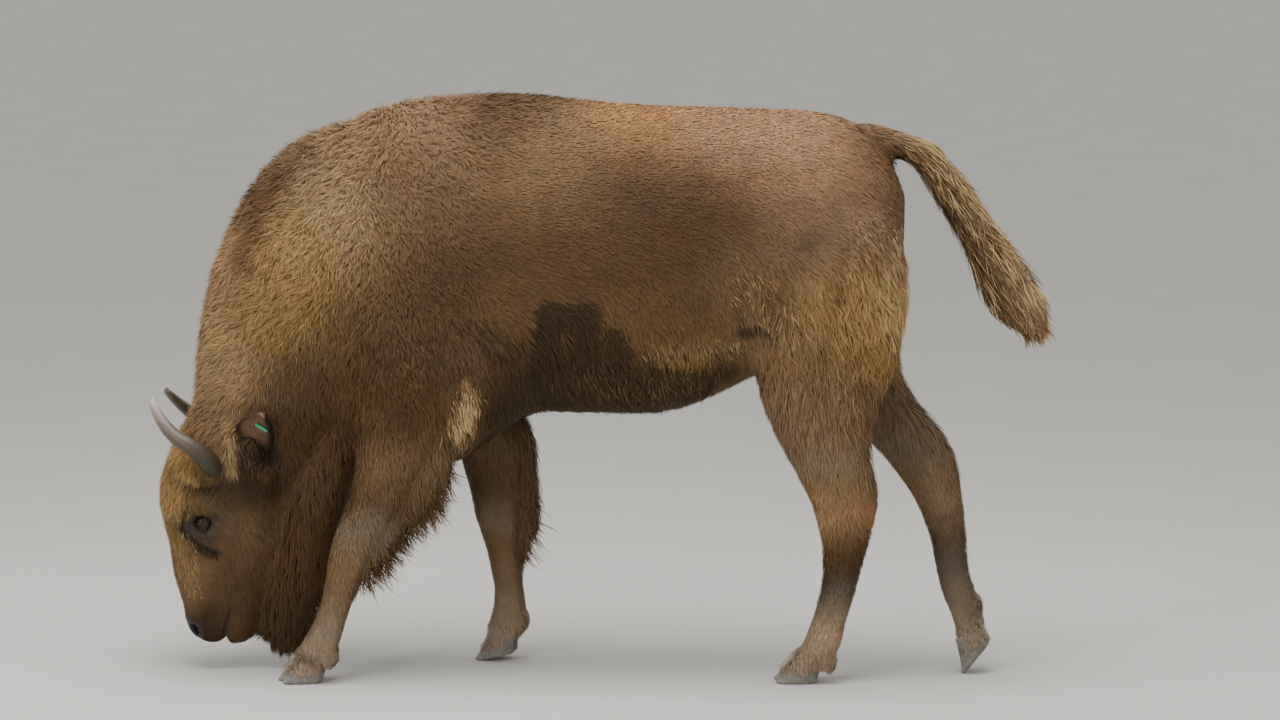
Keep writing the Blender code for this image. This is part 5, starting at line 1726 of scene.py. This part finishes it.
owner = piece_of_faces(skin)
hair_nodes = {"coat_beard": ("beard",), "coat_front_legs": ("fringe_left", "fringe_right"),
              "coat_tail": ("tail_brush",)}
coat_scale = 1.0
for index, (name, *_) in enumerate(COAT_PIECES):
    covered = np.nonzero(owner == index)[0]
    tufts = new_object(name, grow_piece(skin, name, covered, coat_scale))
    dress(tufts, hair, hair_nodes.get(name, ()))

horn_sheath = horn_material()
for side, sign in SIDES:
    piece = new_object("sheath_" + side, horn(side, sign))
    dress(piece, horn_sheath, ("horn_" + side,))
    ball = eyeball(side, sign)
    dress(ball, eye_material(eye_radius(side)), ("eye_" + side,))

hoof_horn = hoof_material()
claws = new_object("claws", keratin(CLAWS, HOOF_COLOURS, 0.35 * MM))
dress(claws, hoof_horn, CLAWS)
spurs = new_object("spurs", keratin(DEWCLAWS, SPUR_COLOURS, 0.2 * MM, DEWCLAW_SHARE))
dress(spurs, hoof_horn, DEWCLAWS)

tag_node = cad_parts["ear_tag"]
for k in range(len(tag_node.data.materials)):
    tag_node.data.materials[k] = tag_material()

# --- floor, light and camera -----------------------------------------------------------------------------

FLOOR_HALF = 70.0
SKY_COLOUR = (1.0, 0.985, 0.955, 1)
SKY_BAND = (0.0, 0.35, 0.44, 0.76)  # two heights, then the sky's strength at each
VIEW_TURN, VIEW_TILT, VIEW_DISTANCE = radians(4.0), radians(7.0), 12.0
VIEW_LENS, FILM_WIDTH = 136.69, 36.0
VIEW_TARGET = place(0.5426, 0.5427)


def studio_floor():
    mesh = bpy.data.meshes.new("floor")
    corners = [(x * FLOOR_HALF, y * FLOOR_HALF, 0) for x, y in ((-1, -1), (1, -1), (1, 1), (-1, 1))]
    mesh.from_pydata(corners, [], [(0, 1, 2, 3)])
    mesh.materials.append(floor_material())
    return new_object("floor", mesh)


def soft_light(name, size, watts, position, target):
    light = bpy.data.lights.new(name, "AREA")
    light.shape = "DISK"
    light.size = size
    light.energy = watts
    lamp = new_object(name, light)
    lamp.location = position
    lamp.rotation_euler = (Vector(position) - Vector(target)).to_track_quat("Z", "Y").to_euler()


def studio_sky():
    """An even pale sky, dimmer toward the horizon, so that it meets the floor without a line."""
    world = bpy.data.worlds.new("studio")
    bpy.context.scene.world = world
    world.use_nodes = True
    background = world.node_tree.nodes["Background"]
    background.inputs["Color"].default_value = SKY_COLOUR
    where = add_node(world, "ShaderNodeTexCoord").outputs["Generated"]
    level = add_node(world, "ShaderNodeSeparateXYZ", {}, {}, {"Vector": where}).outputs["Z"]
    world.node_tree.links.new(spread(world, level, *SKY_BAND), background.inputs["Strength"])


def main_camera():
    lens = bpy.data.cameras.new("camera")
    camera = new_object("camera", lens)
    back = Vector((sin(VIEW_TURN) * cos(VIEW_TILT), -cos(VIEW_TURN) * cos(VIEW_TILT), sin(VIEW_TILT)))
    camera.location = VIEW_TARGET + back * VIEW_DISTANCE
    camera.rotation_euler = back.to_track_quat("Z", "Y").to_euler()
    lens.lens = VIEW_LENS
    lens.sensor_width = FILM_WIDTH
    return camera


floor = studio_floor()
middle = place(0.5, 0.5)
soft_light("overhead", 3.5, 215, middle + Vector((-0.4, -0.8, 3.6)), middle)
soft_light("front_fill", 1.2, 60, middle + Vector((-2.5, -4.2, 1.0)), middle)
studio_sky()
bpy.context.scene.camera = main_camera()
